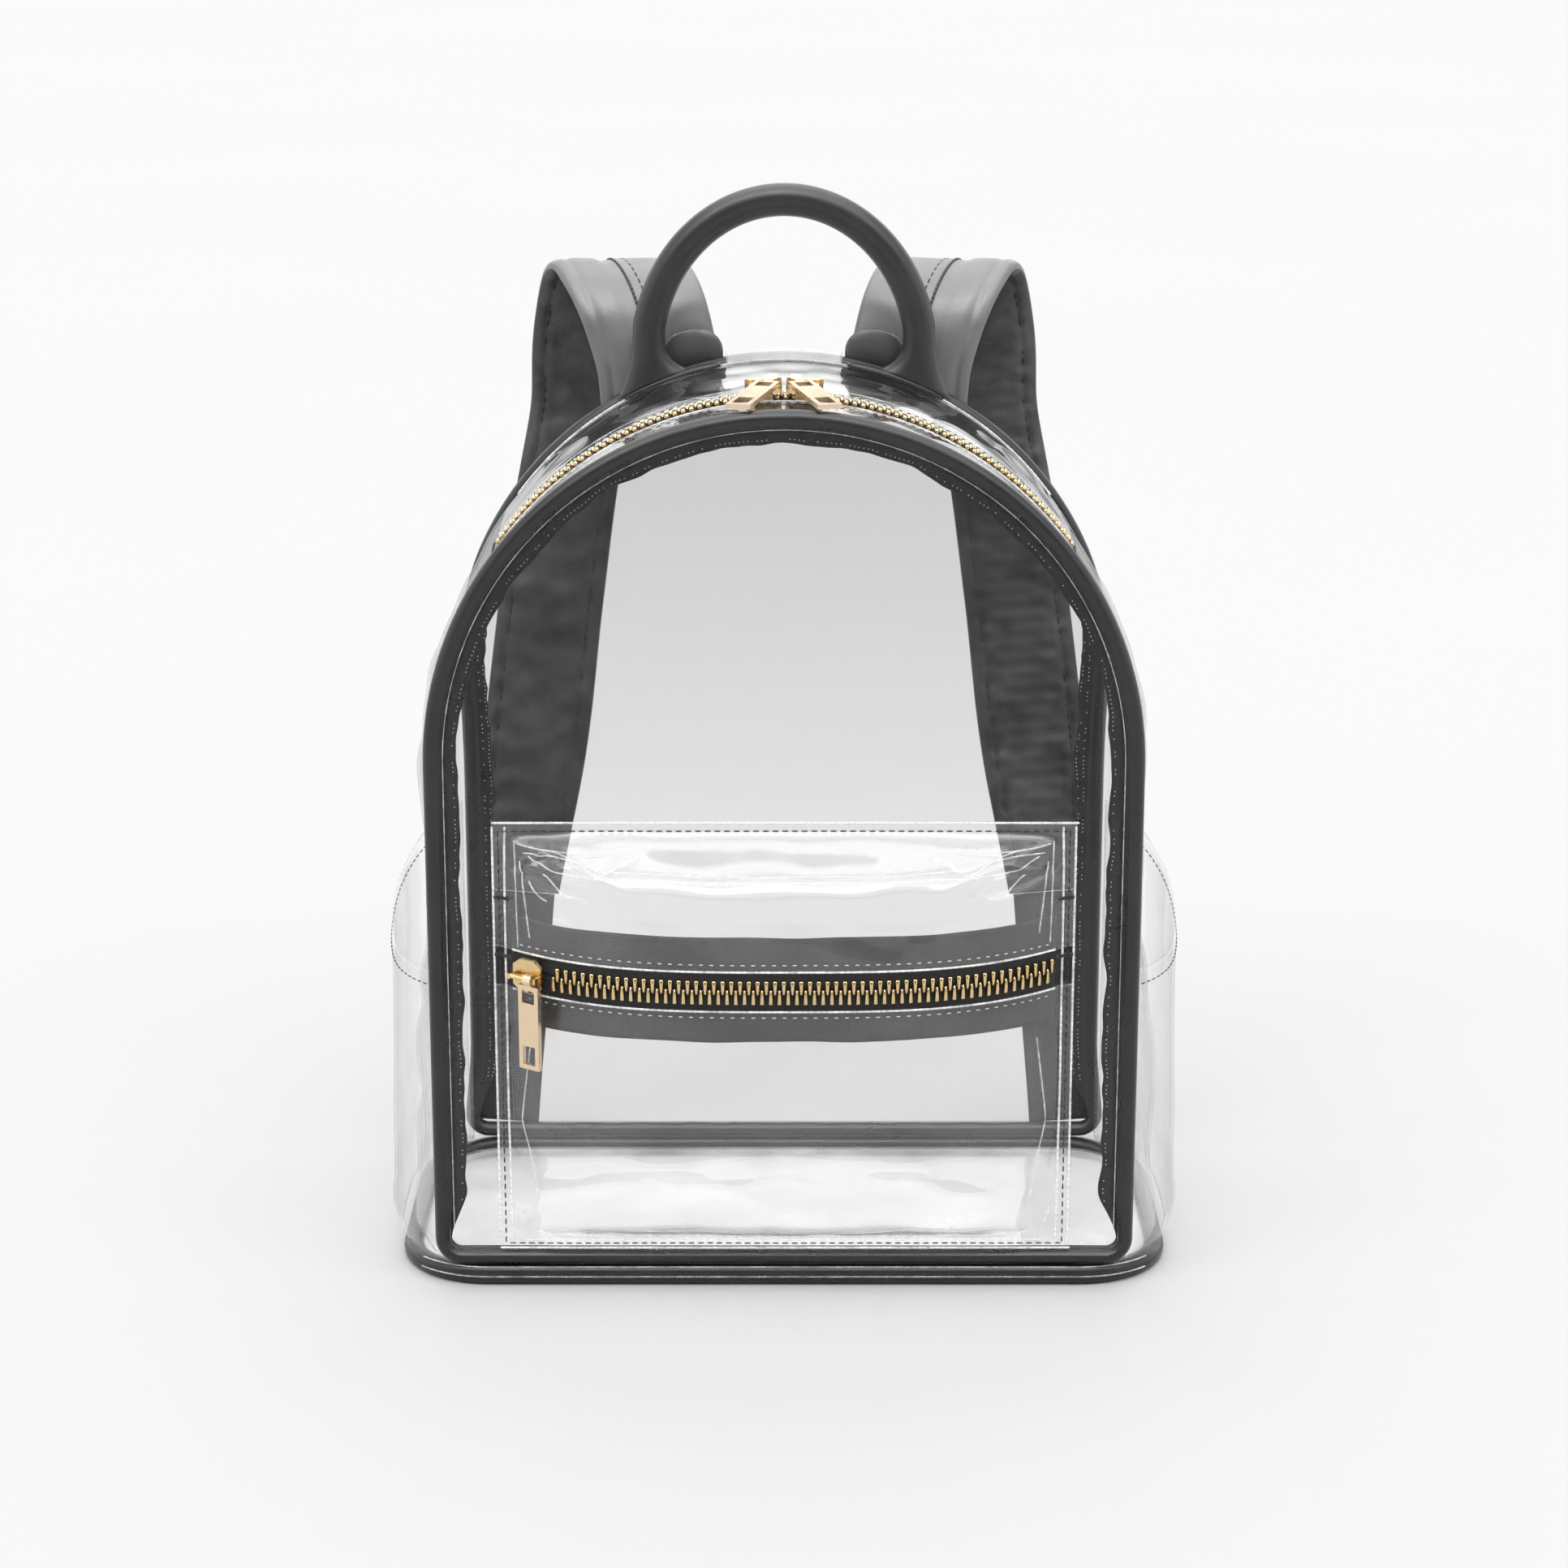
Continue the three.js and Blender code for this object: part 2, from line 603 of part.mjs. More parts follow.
// Slider over the chain: X along the chain, Z out of the bag, with a round bail between two posts
function slider() {
  const inner = CHAIN_WIDTH / 2 + GAP;
  const half = inner + SLIDER_WALL;
  const nose = SLIDER_NOSE * half;
  const end = SLIDER_LENGTH / 2;
  const outline = new THREE.Shape([
    new THREE.Vector2(-end, -nose),
    new THREE.Vector2(-end / 2, -half),
    new THREE.Vector2(end / 2, -half),
    new THREE.Vector2(end, -nose),
    new THREE.Vector2(end, nose),
    new THREE.Vector2(end / 2, half),
    new THREE.Vector2(-end / 2, half),
    new THREE.Vector2(-end, nose),
  ]);
  const top = new THREE.ExtrudeGeometry(outline, { depth: SLIDER_WALL, bevelEnabled: false });
  top.translate(0, 0, SLIDER_FLOOR);
  const flangeFloor = TAPE_DROP + TAPE / 2 + GAP;
  const flangeHeight = SLIDER_FLOOR + SLIDER_WALL / 2 - flangeFloor;
  const flange = (side) => {
    const y = side * (inner + SLIDER_WALL / 2);
    return block(SLIDER_LENGTH / 2, SLIDER_WALL, flangeHeight, 0, y, flangeFloor + flangeHeight / 2);
  };
  const postFloor = SLIDER_FLOOR + SLIDER_WALL / 2;
  const postHeight = BAIL_HEIGHT + BAIL_RADIUS - postFloor;
  const post = (side) => {
    const x = side * (BAIL_SPAN + POST) / 2;
    return block(POST, POST_DEPTH, postHeight, x, 0, postFloor + postHeight / 2);
  };
  const bail = barAlongX(BAIL_RADIUS, BAIL_SPAN + POST, BAIL_HEIGHT);
  return join(top, flange(1), flange(-1), post(1), post(-1), bail);
}

// Pull with its eye round the bail, at the origin, and its plate towards -Y, turned about Z by its yaw
function pull(yaw) {
  const inner = BAIL_RADIUS + EYE_CLEARANCE;
  const outer = inner + EYE_WALL;
  const half = PULL_WIDTH / 2;
  const shoulder = (outer + half * Math.sin(Math.abs(yaw))) / Math.cos(yaw);
  const tip = PULL_LENGTH - outer;
  const rectangle = (kind, x0, y0, x1, y1) => {
    return new kind([
      new THREE.Vector2(x0, y0),
      new THREE.Vector2(x1, y0),
      new THREE.Vector2(x1, y1),
      new THREE.Vector2(x0, y1),
    ]);
  };
  const face = rectangle(THREE.Shape, -half, -tip, half, -shoulder);
  const windowHalf = half - PULL_FRAME;
  const topWindow = shoulder + PULL_FRAME;
  const endWindow = tip - PULL_FRAME - PULL_END_WINDOW;
  face.holes.push(rectangle(THREE.Path, -windowHalf, -topWindow - PULL_TOP_WINDOW, windowHalf, -topWindow));
  face.holes.push(rectangle(THREE.Path, -windowHalf, -endWindow - PULL_END_WINDOW, windowHalf, -endWindow));
  const leaf = new THREE.ExtrudeGeometry(face, { depth: PULL_THICKNESS, bevelEnabled: false });
  leaf.translate(0, 0, -PULL_THICKNESS / 2);
  const neckLength = shoulder + PULL_FRAME / 2;
  const neck = block(EYE_WIDTH - GAP, neckLength, PULL_THICKNESS, 0, -neckLength / 2, 0);
  const plateSolid = solid(leaf).add(solid(neck));
  const turned = solid(geometryOf(plateSolid).rotateZ(yaw));
  const body = turned.add(solid(barAlongX(outer, EYE_WIDTH, 0)));
  return geometryOf(body.subtract(solid(barAlongX(inner, 2 * PULL_WIDTH, 0))));
}

// Anchor patch of the handle, on the gusset at the back of the arch
const HANDLE_Y = BAG_DEPTH / 2 - HANDLE_SETBACK;
const PATCH_DROP = PVC / 2 + GAP + PU / 2;
const PATCH_CENTRE = HANDLE_HALF_WIDTH + PATCH_MARGIN - PATCH_LENGTH / 2;

function handlePatch(side) {
  const middle = alongAtX(side * PATCH_CENTRE);
  const rows = steps(middle - PATCH_LENGTH / 2, middle + PATCH_LENGTH / 2, 5);
  const columns = [HANDLE_Y - PATCH_WIDTH / 2, HANDLE_Y, HANDLE_Y + PATCH_WIDTH / 2];
  return gussetSheet(rows, columns, PATCH_DROP, PU);
}

// Round handle with flared feet that follow the patches
function handle() {
  const radius = HANDLE_THICKNESS / 2;
  const round = steps(0, 2 * Math.PI, HANDLE_SIDES).slice(0, HANDLE_SIDES);
  const seat = PATCH_DROP + PU / 2 + GAP;
  const foot = (side) => {
    return round.map((angle) => {
      const x = side * (HANDLE_HALF_WIDTH + radius * FOOT_FLARE * Math.cos(angle));
      return gussetAt(alongAtX(x), HANDLE_Y + radius * Math.sin(angle), seat);
    });
  };
  const footHeight = gussetAt(alongAtX(HANDLE_HALF_WIDTH), HANDLE_Y, seat)[2];
  const centre = footHeight + HANDLE_LEG;
  const outlines = [foot(1)];
  for (const turn of steps(0, Math.PI, HANDLE_STEPS)) {
    const across = Math.cos(turn);
    const up = Math.sin(turn);
    const out = new THREE.Vector2(across / HANDLE_HALF_WIDTH, up / HANDLE_RISE).normalize();
    const x = HANDLE_HALF_WIDTH * across;
    const z = centre + HANDLE_RISE * up;
    outlines.push(
      round.map((angle) => {
        const reach = radius * Math.cos(angle);
        return [x + out.x * reach, HANDLE_Y + radius * Math.sin(angle), z + out.y * reach];
      }),
    );
  }
  outlines.push(foot(-1));
  return loft(outlines, round.map((angle) => [Math.cos(angle), Math.sin(angle)]));
}

// Route of a shoulder strap from its root at the top of the back to the lower corner, on the right side
const STRAP_FACE = BAG_DEPTH / 2 + ROLL / 2 + GAP;

function strapRoute(side) {
  const rootHeight = archAt(alongAtX(STRAP_ROOT), 0).z;
  return new THREE.CatmullRomCurve3(
    STRAP_FORM.map(({ out, back, up, rise, thick }) => {
      const x = side * (STRAP_ROOT + out * STRAP_SPREAD);
      const y = STRAP_FACE + back * STRAP_REACH + (thick * STRAP_THICKNESS) / 2;
      return new THREE.Vector3(x, y, up * rootHeight + rise * STRAP_RISE);
    }),
    false,
    "centripetal",
  );
}

// Band along a share of the strap's route: sectionAt gives its outline, across and out
function band(side, from, to, count, sectionAt) {
  const route = strapRoute(side);
  return steps(from, to, count).map((share) => {
    const place = route.getPointAt(share);
    const forward = route.getTangentAt(share);
    const across = new THREE.Vector3(1, 0, 0).addScaledVector(forward, -forward.x).normalize();
    const out = new THREE.Vector3().crossVectors(across, forward);
    return sectionAt(share).map(([a, b]) => {
      return place.clone().addScaledVector(across, a).addScaledVector(out, b).toArray();
    });
  });
}

function bandOutline(width, thickness, edge) {
  const half = width / 2;
  const deep = thickness / 2;
  return [
    [-half, 0],
    [-half + edge, deep],
    [half - edge, deep],
    [half, 0],
    [half - edge, -deep],
    [-half + edge, -deep],
  ];
}

function strap(side) {
  const sectionAt = (share) => {
    const { width, thick } = readForm(STRAP_WIDTHS, share);
    return bandOutline(width * STRAP_WIDTH, thick * STRAP_THICKNESS, (thick * STRAP_THICKNESS) / 3);
  };
  const sections = band(side, 0, STRAP_PAD_SHARE, STRAP_STEPS, sectionAt);
  return loft(sections, sectionAt(0));
}

function webbing(side) {
  const gapShare = GAP / strapRoute(side).getLength();
  const outline = bandOutline(WEBBING_WIDTH, WEBBING, WEBBING / 2);
  const start = STRAP_PAD_SHARE + gapShare;
  const sections = band(side, start, 1, WEBBING_STEPS, () => outline);
  return loft(sections, outline);
}

// Plain slide round the webbing, in the frame of the webbing
function adjuster() {
  const width = WEBBING_WIDTH + 2 * GAP;
  const depth = WEBBING + 2 * GAP;
  const frame = block(width + 2 * ADJUSTER_WALL, depth + 2 * ADJUSTER_WALL, ADJUSTER_HEIGHT, 0, 0, 0);
  const way = block(width, depth, 2 * ADJUSTER_HEIGHT, 0, 0, 0);
  return geometryOf(solid(frame).subtract(solid(way)));
}

const clearPvc = new THREE.MeshStandardMaterial({
  color: 0xe4e7e8,
  roughness: 0.12,
  transparent: true,
  opacity: 0.3,
});
const blackPu = new THREE.MeshStandardMaterial({ color: 0x2a2a2b, roughness: 0.45 });
const blackTape = new THREE.MeshStandardMaterial({ color: 0x1c1c1d, roughness: 0.9 });
const blackPlastic = new THREE.MeshStandardMaterial({ color: 0x222223, roughness: 0.4 });
const goldMetal = new THREE.MeshStandardMaterial({ color: 0xc8a566, roughness: 0.22, metalness: 1 });

const backpack = new THREE.Group();

function add(name, geometry, material, parent = backpack) {
  const mesh = new THREE.Mesh(geometry, material);
  mesh.name = name;
  parent.add(mesh);
  return mesh;
}

// A group whose X, Y and Z lie along the given directions
function framedGroup(place, xAxis, zAxis) {
  const group = new THREE.Group();
  const x = xAxis.clone().addScaledVector(zAxis, -xAxis.dot(zAxis)).normalize();
  const y = new THREE.Vector3().crossVectors(zAxis, x);
  group.quaternion.setFromRotationMatrix(new THREE.Matrix4().makeBasis(x, y, zAxis));
  group.position.fromArray(place);
  backpack.add(group);
  return group;
}

function addSliderAndPull(prefix, group, eyeShift, yaw, droop) {
  add(`${prefix}_slider`, slider(), goldMetal, group);
  const hanging = add(`${prefix}_pull`, pull(yaw), goldMetal, group);
  hanging.position.set(eyeShift, 0, BAIL_HEIGHT);
  hanging.rotation.x = droop;
}

// Bag
add("front_panel", panel(SEAM_FRONT), clearPvc);
add("back_panel", panel(-SEAM_FRONT), clearPvc);
add("front_binding", binding(1), blackPu);
add("back_binding", binding(-1), blackPu);
add("base_rim", baseRim(), blackPu);
add("base_panel", floorSheet(), clearPvc);
const wallDepths = bothWays(GUSSET_BENDS).map((share) => share * GUSSET_HALF);
const sideRun = [...steps(0, LEG, 6), ...steps(LEG, ZIP_END - GAP / 2, 4).slice(1)];
const stripEdge = SLOT_WIDTH / 2;
const frontStrip = steps(-GUSSET_HALF, ZIP_Y - stripEdge, 2);
const rearStrip = steps(ZIP_Y + stripEdge, GUSSET_HALF, 6);
add("side_wall_left", gussetSheet(sideRun, wallDepths, 0, PVC), clearPvc);
add("side_wall_right", gussetSheet(sideRun.map((along) => RUN - along), wallDepths, 0, PVC), clearPvc);
add("zip_strip_front", gussetSheet(ZIP_SPAN, frontStrip, 0, PVC), clearPvc);
add("zip_strip_rear", gussetSheet(ZIP_SPAN, rearStrip, 0, PVC), clearPvc);

// Main zip
const tapeFront = [ZIP_Y - TAPE_FRONT, ZIP_Y - GAP / 2];
const tapeRear = [ZIP_Y + GAP / 2, ZIP_Y + TAPE_REAR];
add("main_zip_tape_front", gussetSheet(ZIP_SPAN, tapeFront, TAPE_DROP, TAPE), blackTape);
add("main_zip_tape_rear", gussetSheet(ZIP_SPAN, tapeRear, TAPE_DROP, TAPE), blackTape);
add("main_zip_chain", mainChain(), goldMetal);
for (const side of [-1, 1]) {
  const along = alongAtX(side * SLIDER_SPREAD);
  const { angle } = archAt(along, 0);
  const outward = new THREE.Vector3(Math.cos(angle), 0, Math.sin(angle));
  const group = framedGroup(gussetAt(along, ZIP_Y, 0), new THREE.Vector3(1, 0, 0), outward);
  const yaw = (side * MAIN_PULL_YAW * Math.PI) / 180;
  const droop = (MAIN_PULL_DROOP * Math.PI) / 180;
  addSliderAndPull(side < 0 ? "main_left" : "main_right", group, -side * EYE_SHIFT, yaw, droop);
}

// Front pocket
add("pocket_upper", pocketSheet(POCKET_ZIP_HEIGHT + POCKET_SLOT / 2, POCKET_TOP), clearPvc);
add("pocket_lower", pocketSheet(POCKET_BOTTOM, POCKET_ZIP_HEIGHT - POCKET_SLOT / 2), clearPvc);
add("pocket_tape_upper", pocketTape(1), blackTape);
add("pocket_tape_lower", pocketTape(-1), blackTape);
add("pocket_zip_chain", pocketChain(), goldMetal);
const pocketPlace = pocketAt(POCKET_SLIDER_X, POCKET_ZIP_HEIGHT, 0);
const pocketNormal = pocketOutward(POCKET_SLIDER_X, POCKET_ZIP_HEIGHT).setZ(0).normalize();
const pocketGroup = framedGroup(pocketPlace, new THREE.Vector3(1, 0, 0), pocketNormal);
addSliderAndPull("pocket", pocketGroup, EYE_SHIFT, 0, 0);

// Side pockets
add("side_pocket_left", sidePocket(-1), clearPvc);
add("side_pocket_right", sidePocket(1), clearPvc);

// Handle and straps
add("handle_patch_left", handlePatch(-1), blackPu);
add("handle_patch_right", handlePatch(1), blackPu);
add("handle", handle(), blackPu);
for (const side of [-1, 1]) {
  const name = side < 0 ? "left" : "right";
  add(`strap_${name}`, strap(side), blackPu);
  add(`strap_webbing_${name}`, webbing(side), blackTape);
  const slide = add(`strap_adjuster_${name}`, adjuster(), blackPlastic);
  const route = strapRoute(side);
  const forward = route.getTangentAt(ADJUSTER_SHARE);
  const across = new THREE.Vector3(1, 0, 0).addScaledVector(forward, -forward.x).normalize();
  const out = new THREE.Vector3().crossVectors(forward, across);
  slide.quaternion.setFromRotationMatrix(new THREE.Matrix4().makeBasis(across, out, forward));
  slide.position.copy(route.getPointAt(ADJUSTER_SHARE));
}

export default backpack;
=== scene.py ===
import math

import bmesh
import bpy
import numpy as np
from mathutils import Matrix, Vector


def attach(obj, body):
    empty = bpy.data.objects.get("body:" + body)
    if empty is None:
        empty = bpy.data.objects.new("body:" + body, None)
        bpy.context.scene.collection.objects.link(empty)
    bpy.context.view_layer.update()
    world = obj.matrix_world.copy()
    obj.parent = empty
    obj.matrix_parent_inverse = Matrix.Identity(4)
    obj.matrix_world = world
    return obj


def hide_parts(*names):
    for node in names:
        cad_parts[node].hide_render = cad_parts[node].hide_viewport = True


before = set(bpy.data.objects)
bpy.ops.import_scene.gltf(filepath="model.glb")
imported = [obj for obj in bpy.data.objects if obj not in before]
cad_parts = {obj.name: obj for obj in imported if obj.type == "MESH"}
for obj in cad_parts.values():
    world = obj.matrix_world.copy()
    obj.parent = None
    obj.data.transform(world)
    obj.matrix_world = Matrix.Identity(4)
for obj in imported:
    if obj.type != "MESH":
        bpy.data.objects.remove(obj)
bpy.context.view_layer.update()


def table(columns, *rows):
    """Rows under columns that are named once."""
    return [dict(zip(columns.split(), row)) for row in rows]


def mirrored(rows, *flipped):
    """The rows, each with its like on the other side, where the flipped columns change sign."""
    return rows + [{**row, **{key: -row[key] for key in flipped}} for row in rows]


# Millimetres, as in the frame: clearances and sheets
MM = 0.001
GAP = 0.3
PVC = 1.0
TAPE = 0.8
PU = 1.2

# Bag and base
BAG_WIDTH = 238.0
BAG_HEIGHT = 302.0
BAG_DEPTH = 120.0
ROLL = 6.4
FLAP = 0.9
FRONT_FLAP = 4.9  # flap beyond the roll, as seen through the window
BACK_FLAP = 3.6
FLAP_STEP = 2.2  # between two sections of the roll, as its wavering counts it
BACK_LEAN = 2.8  # the back's roll leans in along its legs
LEAN_TOP = 235.0
LEAN_FADE = 90.0
FOOT_BLEND_TOP = 26.0  # above the foot, where the flap starts to die out
FOOT_BLEND = 18.0
FLOOR_RUN_HEIGHT = 5.2  # roll along the foot of the front and the back
FOOT_CORNER = 9.0
TOP_EDGE_HALF = 20.4  # turned-up edge of the top film, from the middle
TOP_EDGE_SHEET = 0.6
RIM_HALF_WIDTH = 131.0
RIM_CORNER = 30.0
RIM_WIDTH = 7.0
RIM_HEIGHT = 7.0
FLOOR_SLOPE = 22.0

# Main zip
ZIP_SETBACK = 28.0
ZIP_END_ANGLE = 35.6
CHAIN_WIDTH = 8.0
SLOT_WIDTH = 12.4
TAPE_FRONT = 12.0
TAPE_REAR = 9.0
TOOTH_PITCH = 2.85
TOOTH_OVERLAP = 0.9
TOOTH_LIFT = 0.7
ZIP_HOLD = 13.0  # where the folds die out beside the zip, and beside the handle
HANDLE_HOLD = 12.0

# Front pocket
POCKET_WIDTH = 194.0
POCKET_BOTTOM = 13.0
POCKET_TOP = 164.6
POCKET_DEPTH = 28.0
POCKET_FLANGE = 3.0
POCKET_SQUARE = 3.2
POCKET_ZIP_HEIGHT = 114.8
POCKET_SLOT = 13.2
POCKET_TAPE = 18.0
POCKET_CHAIN_START = -77.0
POCKET_CHAIN_END = 89.0
POCKET_TACKS = (138.7, 118.7)  # heights of the sewn bars at its sides
TACK_SPACING = 0.35
POCKET_ZIP_HOLD = 15.0

# Side pockets
SIDE_POCKET_SWELL = 10.0
SIDE_POCKET_SQUARE = 4
HEM_FRONT = 111.0
HEM_MIDDLE = 118.0
HEM_BACK = 139.0

# Handle and straps
HANDLE_THICKNESS = 11.4
HANDLE_HALF_WIDTH = 48.0
HANDLE_RISE = 55.0
HANDLE_SETBACK = 10.2
HANDLE_LEG = 9.5
PATCH_LENGTH = 36.0
PATCH_WIDTH = 13.0
PATCH_MARGIN = 9.75
STRAP_ROOT = 45.0
STRAP_WIDTH = 46.0
STRAP_THICKNESS = 8.0
STRAP_REACH = 46.0
STRAP_RISE = 36.0
STRAP_SPREAD = 60.0
STRAP_PAD_SHARE = 0.78
SEAM_SHARE = 0.12  # seam of the outer face, from its middle outwards, as a share of the strap's width
EDGE_STITCH = 5.0  # from the strap's edge
CAP_MIDDLE = 33.0
CAP_HALF_WIDTH = 11.04
CAP_TOP = 309.0
CAP_FACE = 61.2
WEBBING_WIDTH = 25.0
WEBBING = 1.8

# Values that follow
ARCH_RADIUS = BAG_WIDTH / 2
ARCH_CENTRE = BAG_HEIGHT - ARCH_RADIUS
FOOT = RIM_HEIGHT + GAP
SEAM = BAG_DEPTH / 2
GUSSET_HALF = BAG_DEPTH / 2 - ROLL / 2 - GAP
GUSSET_SEAM = -ROLL / 2
RIM_SWELL = RIM_HALF_WIDTH - (ARCH_RADIUS - ROLL / 2)
ZIP_Y = ZIP_SETBACK - SEAM
TAPE_DROP = -(PVC / 2 + GAP + TAPE / 2)
LIP = PVC / 2
LIP_FRONT = ZIP_Y - SLOT_WIDTH / 2
LIP_REAR = ZIP_Y + SLOT_WIDTH / 2
POCKET_SEAM_Y = -SEAM - PVC - GAP
POCKET_HALF = POCKET_WIDTH / 2
SLOT_TOP = POCKET_ZIP_HEIGHT + POCKET_SLOT / 2
SLOT_BOTTOM = POCKET_ZIP_HEIGHT - POCKET_SLOT / 2
LEG = ARCH_CENTRE - FOOT
RUN = 2 * LEG + math.pi * ARCH_RADIUS
ZIP_END = LEG + math.radians(ZIP_END_ANGLE) * ARCH_RADIUS
HANDLE_Y = SEAM - HANDLE_SETBACK
STRAP_FACE = SEAM + ROLL / 2 + GAP

# Gusset from the base to the top: how far it swells, as a share of the rim's swell
GUSSET_FORM = table(
    "at swell square",
    (0, 1, 3.4),
    (0.15, 0.82, 2.8),
    (0.33, 0.64, 2.3),
    (0.63, 0.42, 2),
    (0.78, 0.12, 2),
    (1, 0.2, 2),
)

# Front pocket from its bottom seam to its top seam: height and depth as shares of its own
POCKET_FORM = table(
    "at depth",
    (0, 0),
    (0.025, 0.02),
    (0.08, 0.42),
    (0.2, 0.66),
    (0.42, 0.87),
    (0.67, 1),
    (0.82, 0.93),
    (0.91, 0.8),
    (0.975, 0.03),
    (1, 0),
)

# Side pocket from the rim to its hem: how far it stands off the wall, as a share of its swell
SIDE_POCKET_FORM = table(
    "at swell",
    (0, 0.3),
    (0.04, 0.5),
    (0.2, 0.66),
    (0.5, 0.8),
    (0.8, 0.95),
    (1, 1),
)

# Strap from its root to the lower corner: shares of the spread, the reach, the root's height, the rise
# above it, and the thickness that sets how far its middle stands off
STRAP_FORM = table(
    "out back up rise thick",
    (-0.02, 0, 0.965, 0, 0.55),
    (0, 0.01, 1, 0.12, 0.8),
    (0.08, 0.12, 1, 0.6, 1),
    (0.17, 0.35, 1, 0.85, 1),
    (0.26, 0.62, 1, 0.9, 1),
    (0.33, 0.84, 1, 0.72, 1),
    (0.4, 0.96, 1, 0.24, 1),
    (0.47, 1, 0.94, 0, 1),
    (0.55, 0.96, 0.87, 0, 1),
    (0.67, 0.84, 0.72, 0, 1),
    (0.77, 0.66, 0.55, 0, 1),
    (0.85, 0.48, 0.41, 0, 0.9),
    (0.9, 0.32, 0.29, 0, 0.5),
    (0.94, 0.17, 0.17, 0, 0.25),
    (0.98, 0.04, 0.07, 0, 0.25),
    (0.99, 0, 0.04, 0, 0.25),
)

# Padding of the strap along its route: shares of its width and thickness
STRAP_WIDTHS = table(
    "at width thick",
    (0, 0.92, 0.55),
    (0.08, 0.96, 0.9),
    (0.16, 1, 1),
    (0.26, 0.96, 1),
    (0.36, 0.8, 1),
    (0.5, 0.84, 1),
    (0.66, 0.82, 0.95),
    (0.78, 0.62, 0.6),
)

# Zip tooth from the tape inwards: share of its reach, half its width and half its height
TOOTH_FORM = table(
    "at width height",
    (0, 0.6, 0.75),
    (0.04, 0.74, 0.95),
    (0.45, 0.62, 0.95),
    (0.85, 0.4, 0.85),
    (1, 0.2, 0.5),
)

# Creases of the front pocket: from and to in X and Z, how high and how wide, and how far they bow
POCKET_CREASES = table(
    "u v to_u to_v height width bow",
    (-93, 158, -52, 148, 2.2, 2.4, -2),
    (-92, 152, -62, 144, -1.6, 1.8, 2),
    (-90, 146, -78, 158, 1.3, 1.4, 0),
    (-88, 150, -70, 153, 1.4, 1.5, 0),
    (93, 158, 50, 147, 2.2, 2.4, 2),
    (92, 152, 64, 145, -1.6, 1.8, -2),
    (88, 149, 72, 154, 1.4, 1.5, 0),
) + mirrored(table(
    "u v to_u to_v height width bow",
    (-90, 96, -86, 40, 2.0, 2.2, 3),
    (-87, 58, -84, 18, -1.6, 2.0, -2),
    (-90, 24, -30, 30, 1.2, 3.0, 3),
    (-84, 62, 0, 44, 1.5, 7.0, 10),
), "u", "to_u", "bow")

# Folds of the front pocket that catch the light: from and to in X and Z, and how far they bow
POCKET_FOLD_LINES = table(
    "u v to_u to_v bow",
    (-60, 152.3, 60, 152.3, -0.8),
    (-66, 150.6, 66, 150.6, -0.6),
    (-84, 146, -78, 141, -1),
    (-84, 20, 84, 20, -1),
    (-88, 16.5, 88, 16.5, 0.4),
) + mirrored(table(
    "u v to_u to_v bow",
    (-86, 155, -60, 152.3, 1),
    (-84, 154, -62, 151.5, -2),
    (-88, 157.5, -58, 156.5, -1),
    (-80, 156.5, -61, 151, 1),
    (-62, 150.5, -48, 155.5, 0),
    (-79, 149.5, -73, 143.5, 1),
    (-89, 158, -88, 124, 0),
    (-87, 152, -84, 128, 0),
    (-84, 92, -88, 62, 0),
    (-88, 62, -83, 34, 0),
    (-90, 30, -86, 16, 0),
), "u", "to_u")

# Films: colour looked through, colour at grazing, gloss straight on, milkiness, depth of the waves,
# gloss at grazing, and the colour towards the top where it differs, a painted shade that darkens the film
# towards its top
FILMS = table(
    "name through edge gloss haze wobble grazing upper",
    ("clear_pvc_window", 0.985, 0.75, 0.006, 0.001, 0.5, 0.92, 0.89),
    ("clear_pvc_pocket", 0.995, 0.8, 0.04, 0.02, 1.6, 0.92, None),
    ("clear_pvc_side", 0.999, 0.9, 0.03, 0.05, 1.8, 0.4, None),
    ("clear_pvc_top", 0.99, 0.8, 0.05, 0.006, 0.45, 0.92, None),
    # The edge film's milkiness is a painted highlight over the back roll
    ("clear_pvc_edge", 0.95, 0.7, 0.03, 0.17, 0.6, 0.3, None),
    ("clear_pvc_floor", 0.998, 0.95, 0.04, 0.22, 2.6, 0.2, None),
)

# black_strap and black_strap_cap are lighter than the other black leathers: painted sheen on the strap's
# outer face, painted light on the root caps
LEATHERS = table(
    "name dark light rough grain shine",
    ("black_binding", 0.007, 0.013, 0.3, 0.7, 0.5),
    ("black_strap_lining", 0.012, 0.06, 0.55, 0.5, 0.5),
    ("black_strap", 0.09, 0.105, 0.4, 0.8, 1.0),
    ("black_strap_cap", 0.03, 0.04, 0.36, 0.7, 1.0),
    ("black_grip", 0.007, 0.014, 0.36, 0.7, 0.6),
)

# Bright and dim fields of the surrounding light: where each begins and is full along its axis and in
# height, as parts of a unit direction, and how much light it adds
SKY_LEVEL = 0.6
WORLD_LEVEL = 0.82
LIGHT_FIELDS = table(
    "axis start full low high strength",
    ("X", 0.62, 0.86, -0.05, 0.02, 1.0),
    ("Y", 0.45, 0.8, 0.02, 0.2, 1.8),
    ("Z", 0.62, 0.86, 0.02, 0.2, 3.2),
    ("Y", -0.35, -0.85, 0.05, 0.3, -0.4),
    ("Y", -0.2, -0.5, 0.3, 0.55, 1.5),
)
SUNS = table(
    "name azimuth elevation strength spread",
    ("key", -50, 45, 0.4, 22),
    ("fill", 55, 40, 0.25, 30),
    ("top", 0, 58, 0.6, 30),
)
CAMERA_PLACE = (0, -1.2185, 0.5020)
CAMERA_AIM = Vector((0, 0, 0.1604))
FOCAL_PIXELS = 4496
FRAME_PIXELS = 1932
SENSOR_WIDTH = 36


# Node trees

def tree_of(name):
    material = bpy.data.materials.new(name)
    material.use_nodes = True
    tree = material.node_tree
    tree.nodes.clear()
    return material, tree


